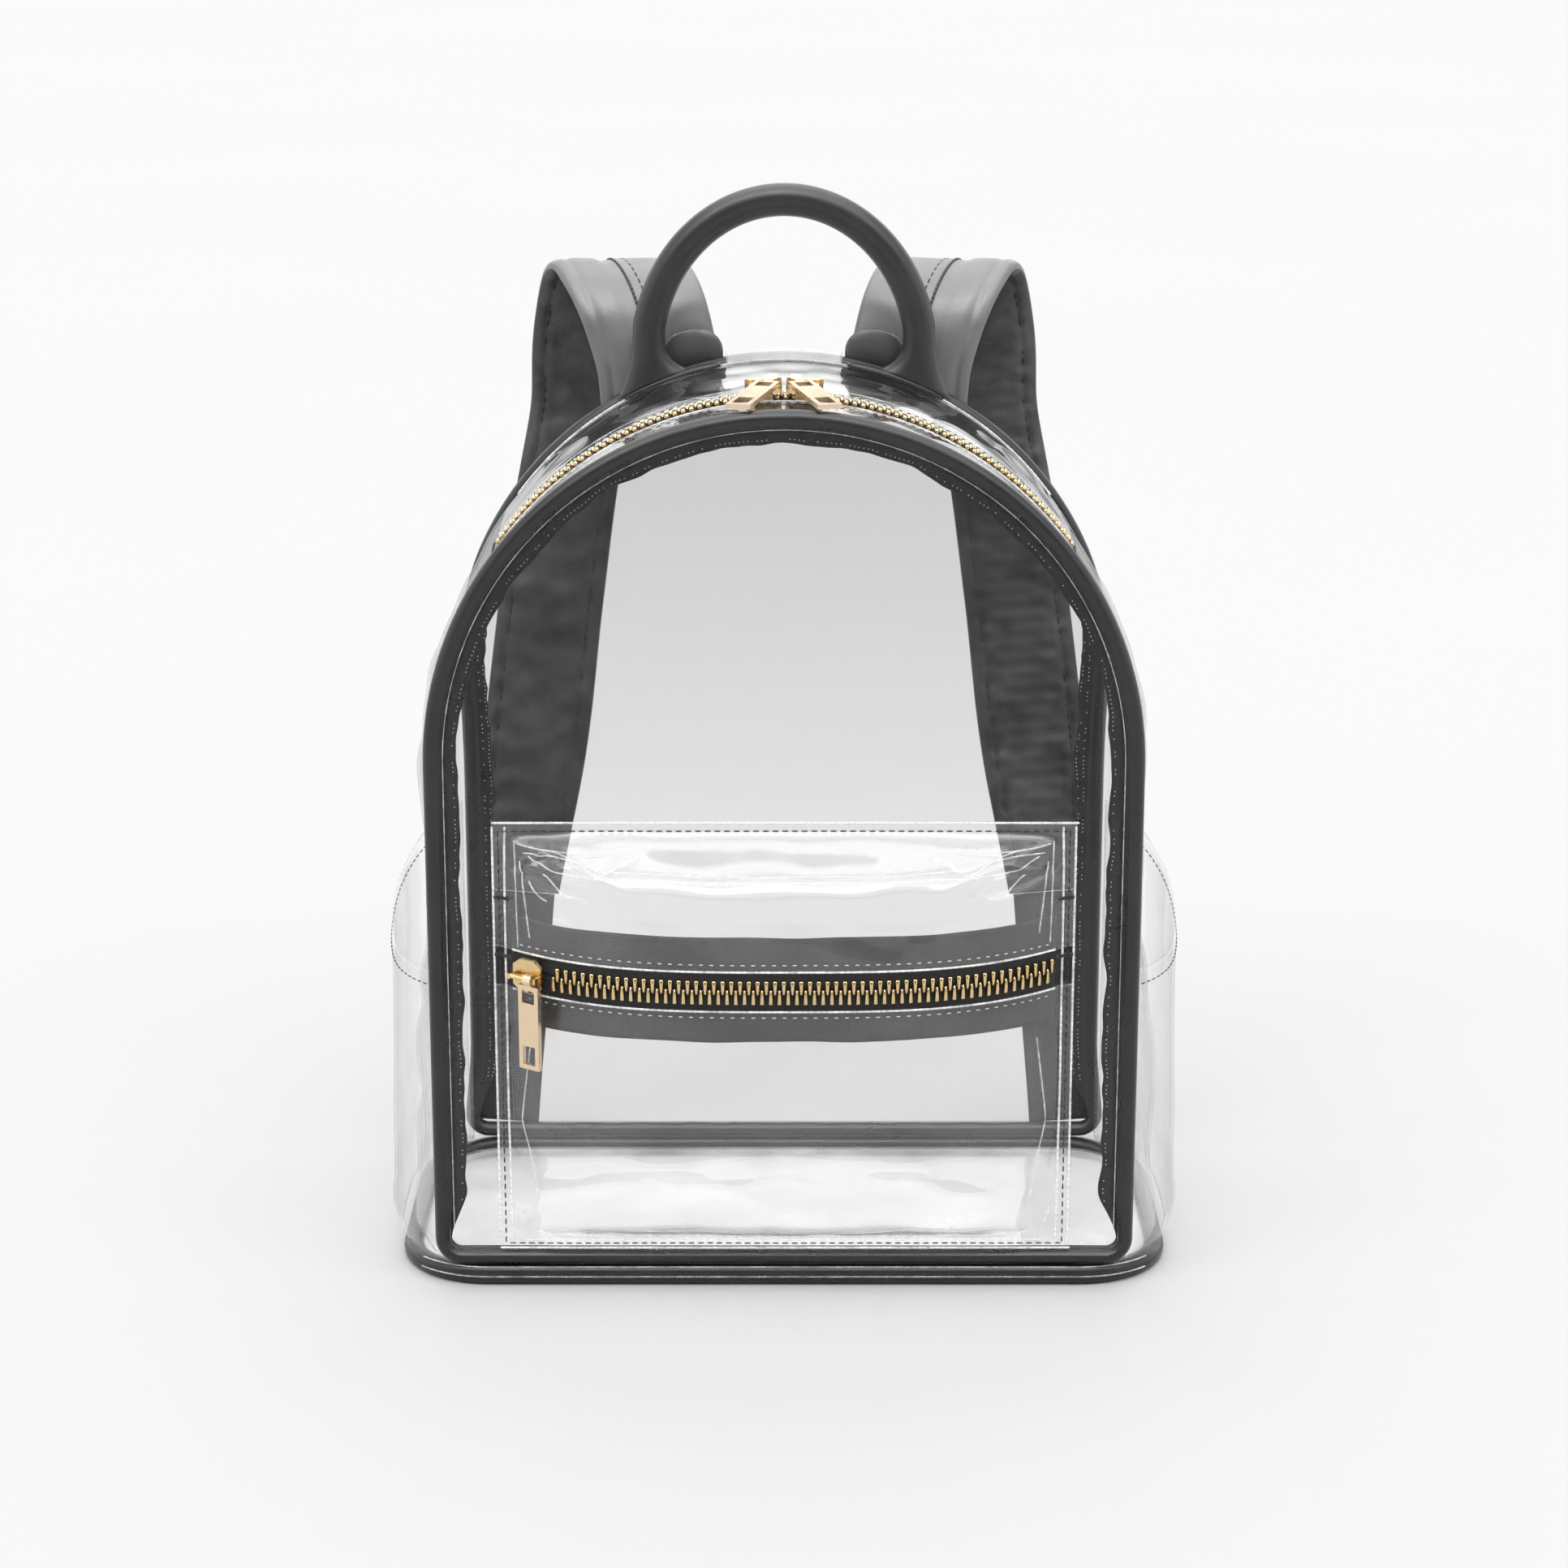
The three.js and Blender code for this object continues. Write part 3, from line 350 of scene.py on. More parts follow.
def node(tree, kind, inputs=None, **settings):
    made = tree.nodes.new("ShaderNode" + kind)
    for key, value in settings.items():
        setattr(made, key, value)
    for key, value in (inputs or {}).items():
        if isinstance(value, bpy.types.NodeSocket):
            tree.links.new(value, made.inputs[key])
        else:
            made.inputs[key].default_value = value
    return made


def maths(tree, operation, first, second=0.0):
    return node(tree, "Math", {0: first, 1: second}, operation=operation).outputs[0]


def surface(tree, shader):
    node(tree, "OutputMaterial", {"Surface": shader})


def principled(tree, **inputs):
    named = {key.replace("_", " "): value for key, value in inputs.items()}
    surface(tree, node(tree, "BsdfPrincipled", named).outputs[0])


def noise(tree, size, detail=3.0, roughness=0.5):
    """Noise with features of about the given size in millimetres."""
    place = node(tree, "TexCoord").outputs["Object"]
    inputs = {"Vector": place, "Scale": 1 / (size * MM), "Detail": detail, "Roughness": roughness}
    return node(tree, "TexNoise", inputs).outputs["Fac"]


def ranged(tree, value, low, high, to_low, to_high):
    inputs = {"Value": value, "From Min": low, "From Max": high, "To Min": to_low, "To Max": to_high}
    return node(tree, "MapRange", inputs).outputs["Result"]


def rgba(colour):
    """A grey level or a colour, with full cover."""
    return (*np.broadcast_to(colour, 3).tolist(), 1)


def shade(tree, factor, dark, light):
    mix = node(tree, "Mix", {"Factor": factor}, data_type="RGBA")
    mix.inputs["A"].default_value = rgba(dark)
    mix.inputs["B"].default_value = rgba(light)
    return mix.outputs["Result"]


def bump(tree, height, depth, strength=1.0, normal=None):
    inputs = {"Height": height, "Distance": depth * MM, "Strength": strength}
    if normal is not None:
        inputs["Normal"] = normal
    return node(tree, "Bump", inputs).outputs["Normal"]


def leather(name, dark, light, rough, grain, shine):
    """Leather-look sheet: pebbled grain, soft creasing and patches that shine more."""
    material, tree = tree_of(name)
    place = node(tree, "TexCoord").outputs["Object"]
    cell_inputs = {"Vector": place, "Scale": 1 / (grain * MM), "Randomness": 0.9}
    cells = node(tree, "TexVoronoi", cell_inputs, feature="SMOOTH_F1").outputs["Distance"]
    creasing = bump(tree, noise(tree, 6, 4, 0.6), 0.16, 0.5)
    cloudy = ranged(tree, noise(tree, 20, 6, 0.65), 0.32, 0.68, 0, 1)
    principled(
        tree,
        Base_Color=shade(tree, cloudy, dark, light),
        Roughness=ranged(tree, noise(tree, 9, 5, 0.6), 0.3, 0.7, rough - 0.06, rough + 0.08),
        Specular_IOR_Level=shine,
        Normal=bump(tree, cells, 0.05, 0.55, creasing),
    )
    return material


def woven(name, dark, light, pitch, rough=0.85):
    """Woven band: threads across it, seen in the bump and in the colour."""
    material, tree = tree_of(name)
    place = node(tree, "UVMap").outputs["UV"]
    inputs = {"Vector": place, "Scale": 0.314 / pitch, "Distortion": 0.6}
    along, across = (node(tree, "TexWave", inputs, bands_direction=way).outputs["Fac"] for way in "XY")
    fuzz = maths(tree, "MULTIPLY", noise(tree, 0.5, 2, 0.7), 0.4)
    height = maths(tree, "ADD", maths(tree, "MULTIPLY", along, across), fuzz)
    principled(
        tree,
        Base_Color=shade(tree, height, dark, light),
        Roughness=rough,
        Normal=bump(tree, height, 0.12, 0.8),
    )
    return material


def metal(name, dark, light, rough):
    """Plated metal: a little uneven, with fine rubbing."""
    material, tree = tree_of(name)
    principled(
        tree,
        Base_Color=shade(tree, noise(tree, 2.5, 4, 0.6), dark, light),
        Metallic=1.0,
        Roughness=ranged(tree, noise(tree, 3, 3, 0.6), 0.3, 0.7, rough - 0.04, rough + 0.06),
        Normal=bump(tree, noise(tree, 4, 1, 0.5), 0.03, 0.4),
    )
    return material


def plastic(name, dark, light, rough):
    material, tree = tree_of(name)
    principled(
        tree,
        Base_Color=shade(tree, noise(tree, 8), dark, light),
        Roughness=ranged(tree, noise(tree, 4), 0.3, 0.7, rough - 0.05, rough + 0.05),
        Normal=bump(tree, noise(tree, 0.5, 2, 0.6), 0.02, 0.5),
    )
    return material


def thread(name, dark, light):
    material, tree = tree_of(name)
    twist = noise(tree, 0.35, 2, 0.6)
    colour = shade(tree, twist, dark, light)
    principled(tree, Base_Color=colour, Roughness=0.6, Normal=bump(tree, twist, 0.08, 0.7))
    return material


def clear_sheet(name, through, edge, gloss, haze, wobble, grazing, upper):
    """Clear vinyl as a thin film: it lets light straight through, and its gloss grows towards grazing."""
    material, tree = tree_of(name)
    waves = bump(tree, noise(tree, 40, 1.0, 0.4), wobble)
    facing = node(tree, "LayerWeight", {"Blend": 0.5, "Normal": waves}).outputs["Facing"]
    mirror = maths(tree, "MULTIPLY", maths(tree, "POWER", facing, 4.0), grazing)
    mirror = maths(tree, "ADD", mirror, gloss)
    kind = node(tree, "LightPath").outputs
    lighting = maths(tree, "MAXIMUM", kind["Is Shadow Ray"], kind["Is Diffuse Ray"])
    mirror = maths(tree, "MULTIPLY", mirror, maths(tree, "SUBTRACT", 1.0, lighting))
    tint = shade(tree, maths(tree, "POWER", facing, 9.0), through, edge)
    # Painted shade: given upper, the colour looked through fades from through low down to the darker upper
    # higher up
    if upper:
        height = node(tree, "SeparateXYZ", {0: node(tree, "TexCoord").outputs["Object"]}).outputs["Z"]
        painted_shade_grade = shade(tree, ranged(tree, height, 0.06, 0.28, 0, 1), through, upper)
        tree.links.new(painted_shade_grade, tint.node.inputs["A"])
    clear = node(tree, "BsdfTransparent", {"Color": tint}).outputs[0]
    milky = node(tree, "BsdfDiffuse", {"Color": rgba(0.93)}).outputs[0]
    smear = ranged(tree, noise(tree, 40, 4, 0.6), 0.35, 0.75, haze * 0.5, haze * 1.5)
    body = node(tree, "MixShader", {0: smear, 1: clear, 2: milky}).outputs[0]
    shine = node(tree, "BsdfGlossy", {"Roughness": 0.03, "Normal": waves}).outputs[0]
    surface(tree, node(tree, "MixShader", {0: mirror, 1: body, 2: shine}).outputs[0])
    return material


def cut_edge(name, strength):
    """Painted highlight for an edge or sharp fold of the clear vinyl, where it gathers light: part clear,
    part a pale and shiny painted glow.
    """
    material, tree = tree_of(name)
    clear = node(tree, "BsdfTransparent", {"Color": rgba(0.97)}).outputs[0]
    coat = {"Base Color": rgba(0.86), "Roughness": 0.18, "Specular IOR Level": 0.8}
    pale = node(tree, "BsdfPrincipled", coat).outputs[0]
    broken = ranged(tree, noise(tree, 5, 3, 0.6), 0.35, 0.65, strength * 0.45, strength * 1.25)
    surface(tree, node(tree, "MixShader", {0: broken, 1: clear, 2: pale}).outputs[0])
    return material


# Looks: each is a material with the slot that its pieces belong to
films = [(clear_sheet(**row), "clear_pvc") for row in FILMS]
CLEAR, POCKET_FILM, SIDE_FILM, TOP_FILM, EDGE_FILM_PAINTED_HIGHLIGHT, FLOOR_FILM = films
# Painted highlights: pale beads laid along the vinyl's edges and folds
EDGE_HIGHLIGHT = (cut_edge("pvc_edge_painted_highlight", 0.62), "clear_pvc")
FAINT_HIGHLIGHT = (cut_edge("pvc_fold_painted_highlight", 0.3), "clear_pvc")
leathers = [(leather(**row), "black_pu") for row in LEATHERS]
BINDING, STRAP_INNER, STRAP_PAINTED_SHEEN, CAP_PAINTED_LIGHT, GRIP = leathers
tape_shades = ((0.006, 0.006, 0.0065), (0.03, 0.03, 0.031))
ZIP_TAPE = (woven("black_zip_tape", *tape_shades, 0.5), "black_tape")
WEB = (woven("black_webbing", *tape_shades, 1.1), "black_tape")
GOLD = (metal("gold_plate", (0.62, 0.45, 0.2), (0.8, 0.62, 0.36), 0.16), "gold_metal")
CREAM = (metal("pale_gold_plate", (0.72, 0.56, 0.38), (0.82, 0.66, 0.47), 0.24), "gold_metal")
SLIDE = (plastic("black_slide", 0.012, 0.02, 0.35), "black_plastic")
THREAD = (thread("black_thread", 0.004, 0.02), "black_tape")
SPECK = (thread("needle_speck", 0.35, 0.6), "black_tape")
FLAP_SPECK = (SPECK[0], "black_pu")


# Meshes

def xyz(x, y, z):
    return np.stack(np.broadcast_arrays(x, y, z), -1)


def unit(vectors):
    return vectors / np.maximum(np.linalg.norm(vectors, axis=-1, keepdims=True), 1e-9)


def eased(share):
    return share * share * (3 - 2 * share)


def bulge(value, power):
    """Sine or cosine drawn towards a square when the power is under 1."""
    return np.sign(value) * np.abs(value) ** power


def ridge(off, width):
    return np.exp(-((off / width) ** 2))


def run_of(points):
    """Length run along a line of points, up to each of them."""
    return np.concatenate([[0], np.cumsum(np.linalg.norm(np.diff(points, axis=0), axis=1))])


def smooth_read(form, column, at):
    """Smooth reading of a form table."""
    places = np.array([row["at"] for row in form], float)
    values = np.array([row[column] for row in form], float)
    at = np.clip(np.asarray(at, float), places[0], places[-1])
    slopes = np.gradient(values, places)
    rise = np.diff(values) / np.diff(places)
    for i in range(len(slopes)):
        near = rise[max(i - 1, 0):i + 1]
        if np.min(near) <= 0 <= np.max(near):
            slopes[i] = 0
    i = np.clip(np.searchsorted(places, at, side="right") - 1, 0, len(places) - 2)
    width = places[i + 1] - places[i]
    t = (at - places[i]) / width
    start, end = slopes[i] * width, slopes[i + 1] * width
    return hermite(t, values[i], values[i + 1], start, end)


def hermite(t, low, high, start, end):
    return ((2 * t**3 - 3 * t**2 + 1) * low + (t**3 - 2 * t**2 + t) * start
            + (3 * t**2 - 2 * t**3) * high + (t**3 - t**2) * end)


def ripple(u, v, size, seed, stretch=1.0, waves=9):
    """Soft random waves of about one unit in height. A stretch over 1 draws them out along v."""
    draw = np.random.default_rng(seed)
    total = 0.0
    for _ in range(waves):
        angle = draw.uniform(0, 2 * math.pi)
        length = size * draw.uniform(0.6, 1.8)
        phase = draw.uniform(0, 2 * math.pi)
        run = u * math.cos(angle) + v * math.sin(angle) / stretch
        total = total + np.sin(run * 2 * math.pi / length + phase)
    return total / math.sqrt(waves)


def creased(rows, u, v):
    """Height of a set of creases, each a soft ridge along a line that fades at both ends."""
    total = np.zeros(np.broadcast(u, v).shape)
    for row in rows:
        du, dv = row["to_u"] - row["u"], row["to_v"] - row["v"]
        length = math.hypot(du, dv)
        along = ((u - row["u"]) * du + (v - row["v"]) * dv) / length**2
        off = ((u - row["u"]) * dv - (v - row["v"]) * du) / length
        fade = np.clip(np.minimum(along, 1 - along) * 4 + 0.15, 0, 1)
        bow = row["bow"] * (1 - (2 * np.clip(along, 0, 1) - 1) ** 2)
        total = total + row["height"] * fade * ridge(off - bow, row["width"])
    return total


def mesh_piece(name, points, faces, look, replaced=None, places=None):
    """An object from millimetre points. places gives each point's run along and across, for a weave."""
    material, slot = look
    mesh = bpy.data.meshes.new(name)
    mesh.from_pydata((np.asarray(points, float) * MM).tolist(), [], faces)
    mesh.validate()
    mesh.update()
    mesh.shade_smooth()
    if places is not None:
        layer = mesh.uv_layers.new(name="Surface")
        corner = np.empty(len(mesh.loops), int)
        mesh.loops.foreach_get("vertex_index", corner)
        layer.data.foreach_set("uv", np.asarray(places, float)[corner].ravel())
    mesh.materials.append(material)
    piece = bpy.data.objects.new(name, mesh)
    bpy.context.scene.collection.objects.link(piece)
    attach(piece, "root")
    if replaced:
        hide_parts(replaced)
    return piece


def grid_faces(rows, columns, start=0, flip=False, ring_rows=False, ring_columns=False):
    faces = []
    for i in range(rows if ring_rows else rows - 1):
        for j in range(columns if ring_columns else columns - 1):
            a = start + i * columns + j
            b = start + ((i + 1) % rows) * columns + j
            c = start + ((i + 1) % rows) * columns + (j + 1) % columns
            d = start + i * columns + (j + 1) % columns
            faces.append((a, d, c, b) if flip else (a, b, c, d))
    return faces


def make_outward(piece):
    cage = bmesh.new()
    cage.from_mesh(piece.data)
    bmesh.ops.recalc_face_normals(cage, faces=cage.faces)
    cage.to_mesh(piece.data)
    cage.free()


def sheet_piece(name, grid, thickness, look, replaced=None, places=None):
    """A closed sheet of even thickness about a grid of points."""
    normal = unit(np.cross(np.gradient(grid, axis=0), np.gradient(grid, axis=1)))
    skins = [grid + normal * thickness / 2, grid - normal * thickness / 2]
    points = np.concatenate([skin.reshape(-1, 3) for skin in skins])
    rows, columns = grid.shape[:2]
    count = rows * columns
    faces = grid_faces(rows, columns) + grid_faces(rows, columns, count, flip=True)
    edge = [j for j in range(columns)]
    edge += [i * columns + columns - 1 for i in range(1, rows)]
    edge += [(rows - 1) * columns + j for j in range(columns - 2, -1, -1)]
    edge += [i * columns for i in range(rows - 2, 0, -1)]
    faces += [(a, b, b + count, a + count) for a, b in zip(edge, edge[1:] + edge[:1])]
    if places is not None:
        places = np.concatenate([places.reshape(-1, 2)] * 2)
    make_outward(mesh_piece(name, points, faces, look, replaced, places))


def tube_piece(name, sections, look, replaced, ring=False, places=None):
    """A skin through closed sections of equal length, capped at both ends unless it is a ring."""
    sections = np.asarray(sections, float)
    count, size = sections.shape[:2]
    points = sections.reshape(-1, 3)
    faces = grid_faces(count, size, ring_rows=ring, ring_columns=True)
    if not ring:
        points = np.concatenate([points, sections[:1].mean(1), sections[-1:].mean(1)])
        last = (count - 1) * size
        for j in range(size):
            k = (j + 1) % size
            faces.append((k, j, count * size))
            faces.append((last + j, last + k, count * size + 1))
        if places is not None:
            places = np.concatenate([places.reshape(-1, 2), places[:1].mean(1), places[-1:].mean(1)])
    piece = mesh_piece(name, points, faces, look, replaced, places)
    make_outward(piece)
    return piece


def scatter_piece(name, shape, frames, look, replaced=None):
    """Copies of a small shape (points, faces) in many frames (place, 3 axes as rows), as one mesh."""
    base, base_faces = np.asarray(shape[0], float), shape[1]
    points, faces = [], []
    for i, (place, axes) in enumerate(frames):
        points.append(base @ axes + place)
        faces.extend(tuple(i * len(base) + corner for corner in face) for face in base_faces)
    mesh_piece(name, np.concatenate(points), faces, look, replaced)


def bead_shape(length, radius, sides=6, rings=3):
    """A long rounded bead along X, as a stitch is."""
    points = [(-length / 2, 0, 0)]
    for i in range(1, rings + 1):
        turn = math.pi * i / (rings + 1)
        x = -math.cos(turn) * length / 2
        r = radius * math.sin(turn) ** 0.5
        for j in range(sides):
            angle = 2 * math.pi * j / sides
            points.append((x, r * math.cos(angle), r * math.sin(angle)))
    points.append((length / 2, 0, 0))
    faces = []
    for j in range(sides):
        k = (j + 1) % sides
        faces.append((0, 1 + k, 1 + j))
        for i in range(rings - 1):
            a = 1 + i * sides
            faces.append((a + j, a + k, a + sides + k, a + sides + j))
        faces.append((len(points) - 1, 1 + (rings - 1) * sides + j, 1 + (rings - 1) * sides + k))
    return points, faces


def frames_along(points, outward, pitch, lift=0.0):
    """Frames along a line: X along it, Z outward. outward is one direction or one for each point."""
    points = np.asarray(points, float)
    outward = np.broadcast_to(np.asarray(outward, float), points.shape)
    run = run_of(points)
    wanted = np.arange(pitch / 2, run[-1], pitch)

    def read(values, at):
        return np.stack([np.interp(at, run, values[:, k]) for k in range(3)], -1)

    forward = unit(read(points, wanted + pitch * 0.3) - read(points, wanted - pitch * 0.3))
    up = read(outward, wanted)
    up = unit(up - forward * np.sum(up * forward, axis=1, keepdims=True))
    places = read(points, wanted) + up * lift
    return [(place, np.array([x, np.cross(z, x), z])) for place, x, z in zip(places, forward, up)]


def stitches(name, lines, look, pitch=3.2, length=2.3, radius=0.26):
    """Stitching along one or more lines, each given with its outward direction."""
    frames = []
    for points, outward in lines:
        frames += frames_along(points, outward, pitch, lift=0.1)
    scatter_piece(name, bead_shape(length, radius), frames, look)


def edge_cord(name, lines, radius, look):
    """Thin round edges along lines, such as the turned edge of a clear strip beside a zip."""
    frames = []
    for points, outward in lines:
        frames += frames_along(points, outward, 2.0)
    scatter_piece(name, bead_shape(2.6, radius), frames, look)


# Shape of the bag

def arch_at(along, offset=0.0):
    """Place on the bag's outline, counted from the left foot over the top, and moved out by offset."""
    along, offset = np.broadcast_arrays(np.asarray(along, float), np.asarray(offset, float))
    angle = np.clip(math.pi - (along - LEG) / ARCH_RADIUS, 0, math.pi)
    radius = ARCH_RADIUS + offset
    below = np.maximum(LEG - along, 0) + np.maximum(along - (RUN - LEG), 0)
    return radius * np.cos(angle), ARCH_CENTRE + radius * np.sin(angle) - below


def gusset_at(along, y, out=0.0):
    along, y, out = (np.asarray(part, float) for part in np.broadcast_arrays(along, y, out))
    height = arch_at(along)[1] / BAG_HEIGHT
    swell = smooth_read(GUSSET_FORM, "swell", height) * RIM_SWELL
    across = np.minimum(1, np.abs(y) / GUSSET_HALF)
    swell = swell * (1 - across ** smooth_read(GUSSET_FORM, "square", height))
    x, z = arch_at(along, GUSSET_SEAM + swell + out)
    return xyz(x, y, z)


def gusset_folds(along, y):
    """Soft folds of the gusset, none at its seams, its zip and its handle."""
    hold = np.clip(1 - (np.abs(y) / GUSSET_HALF) ** 6, 0, 1)
    over_top = np.clip((arch_at(along)[1] - ARCH_CENTRE) / 60, 0, 1)
    zip_hold = 1 - over_top * ridge(y - ZIP_Y, ZIP_HOLD)
    handle_hold = 1 - over_top * ridge(y - HANDLE_Y, HANDLE_HOLD)
    soft = 1.5 * ripple(along, y, 60, 5, 1.6) + 0.7 * ripple(along, y, 26, 6, 1.5)
    return soft * hold * zip_hold * handle_hold * (1 - 0.45 * over_top)


def along_at_x(x):
    return LEG + (math.pi - np.arccos(np.clip(np.asarray(x, float) / ARCH_RADIUS, -1, 1))) * ARCH_RADIUS


def pocket_folds(x, z):
    """Creases and waves of the pocket's sheet, none at its seams and its zip."""
    side = np.clip((POCKET_HALF - 2.5 - np.abs(x)) / 6, 0, 1)
    ends = np.clip((z - POCKET_BOTTOM - 2) / 5, 0, 1) * np.clip((POCKET_TOP - 3.5 - z) / 4, 0, 1)
    zip_hold = 1 - np.exp(-(((z - POCKET_ZIP_HEIGHT) / POCKET_ZIP_HOLD) ** 4))
    soft = 0.7 * ripple(x, z, 55, 21, 0.6) + 0.25 * ripple(x, z, 20, 22, 0.7)
    return (soft + creased(POCKET_CREASES, x, z)) * side * ends * zip_hold


def pocket_y(x, z):
    across = np.minimum(1, np.abs(x) / (POCKET_HALF - POCKET_FLANGE))
    share = (z - POCKET_BOTTOM) / (POCKET_TOP - POCKET_BOTTOM)
    deep = smooth_read(POCKET_FORM, "depth", share) * (1 - across**POCKET_SQUARE)
    return POCKET_SEAM_Y - POCKET_DEPTH * deep - pocket_folds(x, z)


def pocket_at(x, z, out=0.0):
    x, z, out = (np.asarray(part, float) for part in np.broadcast_arrays(x, z, out))
    probe = 0.5
    slope_x = (pocket_y(x + probe, z) - pocket_y(x - probe, z)) / (2 * probe)
    slope_z = (pocket_y(x, z + probe) - pocket_y(x, z - probe)) / (2 * probe)
    return xyz(x, pocket_y(x, z), z) + unit(xyz(slope_x, -1.0, slope_z)) * out[..., None]


# Sheets of the bag

def panel(name, y, replaced, seed):
    half_full = ARCH_RADIUS - ROLL - GAP
    turns = np.linspace(0, math.pi / 2 - 0.02, 34)[1:]
    legs = np.linspace(FOOT, ARCH_CENTRE, 34)
    heights = np.concatenate([legs, ARCH_CENTRE + half_full * np.sin(turns)])[:, None]
    halves = np.concatenate([np.full(len(legs), half_full), half_full * np.cos(turns)])[:, None]
    share = np.linspace(-1, 1, 61)[None, :]
    x, z = np.broadcast_arrays(halves * share, heights)
    free = np.clip(np.minimum(halves * (1 - np.abs(share)), z - FOOT) / 40, 0, 1)
    depth = y + free * (0.9 * ripple(x, z, 120, seed) + 0.15 * ripple(x, z, 45, seed + 1))
    sheet_piece(name, xyz(x, depth, z), PVC, CLEAR, replaced)


def gusset_sheet(name, replaced, along, across, look):
    """Film of the gusset with its folds, or a tape of the zip, which lies evenly under it."""
    along, y = np.meshgrid(along, across, indexing="ij")
    places = np.stack([along, y], -1)
    if look is ZIP_TAPE:
        sheet_piece(name, gusset_at(along, y, TAPE_DROP), TAPE, look, replaced, places)
    else:
        sheet_piece(name, gusset_at(along, y, gusset_folds(along, y)), PVC, look, replaced, places)


def top_edge_film(name):
    """Edge of the top film, turned up over the back seam's roll between the straps. The film is real; its
    milky paleness is a painted highlight.
    """
    along = np.linspace(along_at_x(-TOP_EDGE_HALF), along_at_x(TOP_EDGE_HALF), 40)
    rows = [gusset_at(along, GUSSET_HALF - 7, 1.2), gusset_at(along, GUSSET_HALF - 3.5, 1.5)]
    for y, offset in ((-3.4, 0.1), (-1.7, 0.8), (0.3, 1.0), (2.2, 0.6), (3.7, -1.0)):
        x, z = arch_at(along, offset)
        rows.append(xyz(x, SEAM + y, z))
    sheet_piece(name, np.stack(rows, 1), TOP_EDGE_SHEET, EDGE_FILM_PAINTED_HIGHLIGHT)


def foot_loop(offset=0.0):
    """Outline of the front of the bag as a closed loop with round lower corners, and its outward side."""
    corner = FOOT_CORNER
    inner = ARCH_RADIUS - corner
    run = np.linspace(corner, RUN - corner, 330)
    arch = np.stack(arch_at(run), -1)
    arch_out = np.stack(arch_at(run, 1.0), -1) - arch
    turn = np.linspace(0, math.pi / 2, 12)
    right = np.stack([np.cos(turn), -np.sin(turn)], -1)[1:]
    left = np.stack([-np.sin(turn), -np.cos(turn)], -1)[:-1]
    floor_x = np.linspace(inner, -inner, 90)[1:-1]
    floor = np.stack([floor_x, np.full(len(floor_x), FOOT)], -1)
    down = np.tile([0.0, -1.0], (len(floor), 1))
    centre = np.array([inner, FOOT + corner])
    points = np.concatenate([arch, centre + corner * right, floor, centre * [-1, 1] + corner * left])
    normals = np.concatenate([arch_out, right, down, left])
    return points + normals * offset, normals


def flap_edge(seam_flap, seed, near_foot):
    """Width of the flap round the outline: cut by hand, so it wavers and frays."""
    run = np.arange(len(near_foot)) * FLAP_STEP
    slow = 0.5 * ripple(run, 0, 80, seed) + 0.42 * ripple(run, 0, 20, seed + 2)
    fray = 0.2 * ripple(run, 0, 6, seed + 1)
    return (seam_flap + slow + fray) * (1 - 0.95 * near_foot)


def foot_blend(points):
    return eased(np.clip((FOOT + FOOT_BLEND_TOP - points[:, 1]) / FOOT_BLEND, 0, 1))


def leaning_loop(lean):
    """Outline whose legs lean in below the arch and come back out at the foot."""
    points, normals = foot_loop()
    height = points[:, 1]
    share = eased(np.clip((LEAN_TOP - height) / LEAN_FADE, 0, 1) * np.clip((height - FOOT) / 40, 0, 1))
    points[:, 0] -= np.sign(points[:, 0]) * lean * share * (np.abs(normals[:, 0]) > 0.3)
    return points, normals


def binding(name, seam, inward, replaced, seed, seam_flap, lean):
    """Seam roll round the front or the back, with its groove and the flap seen through the panel."""
    points, normals = leaning_loop(lean)
    near_foot = foot_blend(points)
    flap_width = flap_edge(seam_flap, seed, near_foot)
    radius = ROLL / 2
    near = PVC / 2 + GAP
    far = near + FLAP
    angles = np.linspace(math.pi - math.asin(near / radius), 3 * math.pi - math.asin(far / radius), 26)
    groove = 1 - 0.07 * ridge(np.degrees(angles) - 225, 9)
    sections = []
    for i, squash in enumerate(1 - (1 - FLOOR_RUN_HEIGHT / ROLL) * near_foot):
        end = -(ROLL * squash + flap_width[i])
        knee = end * 0.6 - ROLL * 0.4 * squash
        run = i * FLAP_STEP
        lift = 0.18 * math.sin(run * 0.35) + 0.12 * math.sin(run * 0.9)
        roll = radius * squash * (np.cos(angles) * groove - 1)
        offsets = np.concatenate([[end, knee], roll, [knee, end]])
        roll_depths = radius * np.sin(angles) * groove
        depths = np.concatenate([[near + 0.15, near], roll_depths, [far + lift, far + 0.1]])
        place = points[i] + normals[i] * offsets[:, None]
        sections.append(xyz(place[:, 0], seam + inward * depths, place[:, 1]))
    tube_piece(name, sections, BINDING, replaced, ring=True)


def needle_dots(name, seam, inward, seed, seam_flap, lean, rows):
    """Needle holes along the flap, as the light shows through them."""
    points, normals = leaning_loop(lean)
    near_foot = foot_blend(points)
    width = flap_edge(seam_flap, seed, near_foot)
    depth = seam + (PVC / 2 + GAP if inward > 0 else -(PVC / 2 + GAP + FLAP)) - 0.05
    draw = np.random.default_rng(seed)
    frames = []
    for row in rows:
        line = points + normals * -(ROLL + width * row)[:, None]
        track = xyz(line[:, 0], depth, line[:, 1])[near_foot < 0.2]
        frames += [frame_at for frame_at in frames_along(track, FRONT, 1.5) if draw.random() < 0.62]
    scatter_piece(name, bead_shape(0.5, 0.21, 5, 2), frames, FLAP_SPECK)


def seam_line(name, offset, y, radius):
    """Painted highlight: a pale line where the window's sheet turns in beside the roll."""
    points = foot_loop(offset)[0]
    points = points[points[:, 1] > FOOT + 12]
    edge_cord(name, [(xyz(points[:, 0], y, points[:, 1]), FRONT)], radius, FAINT_HIGHLIGHT)


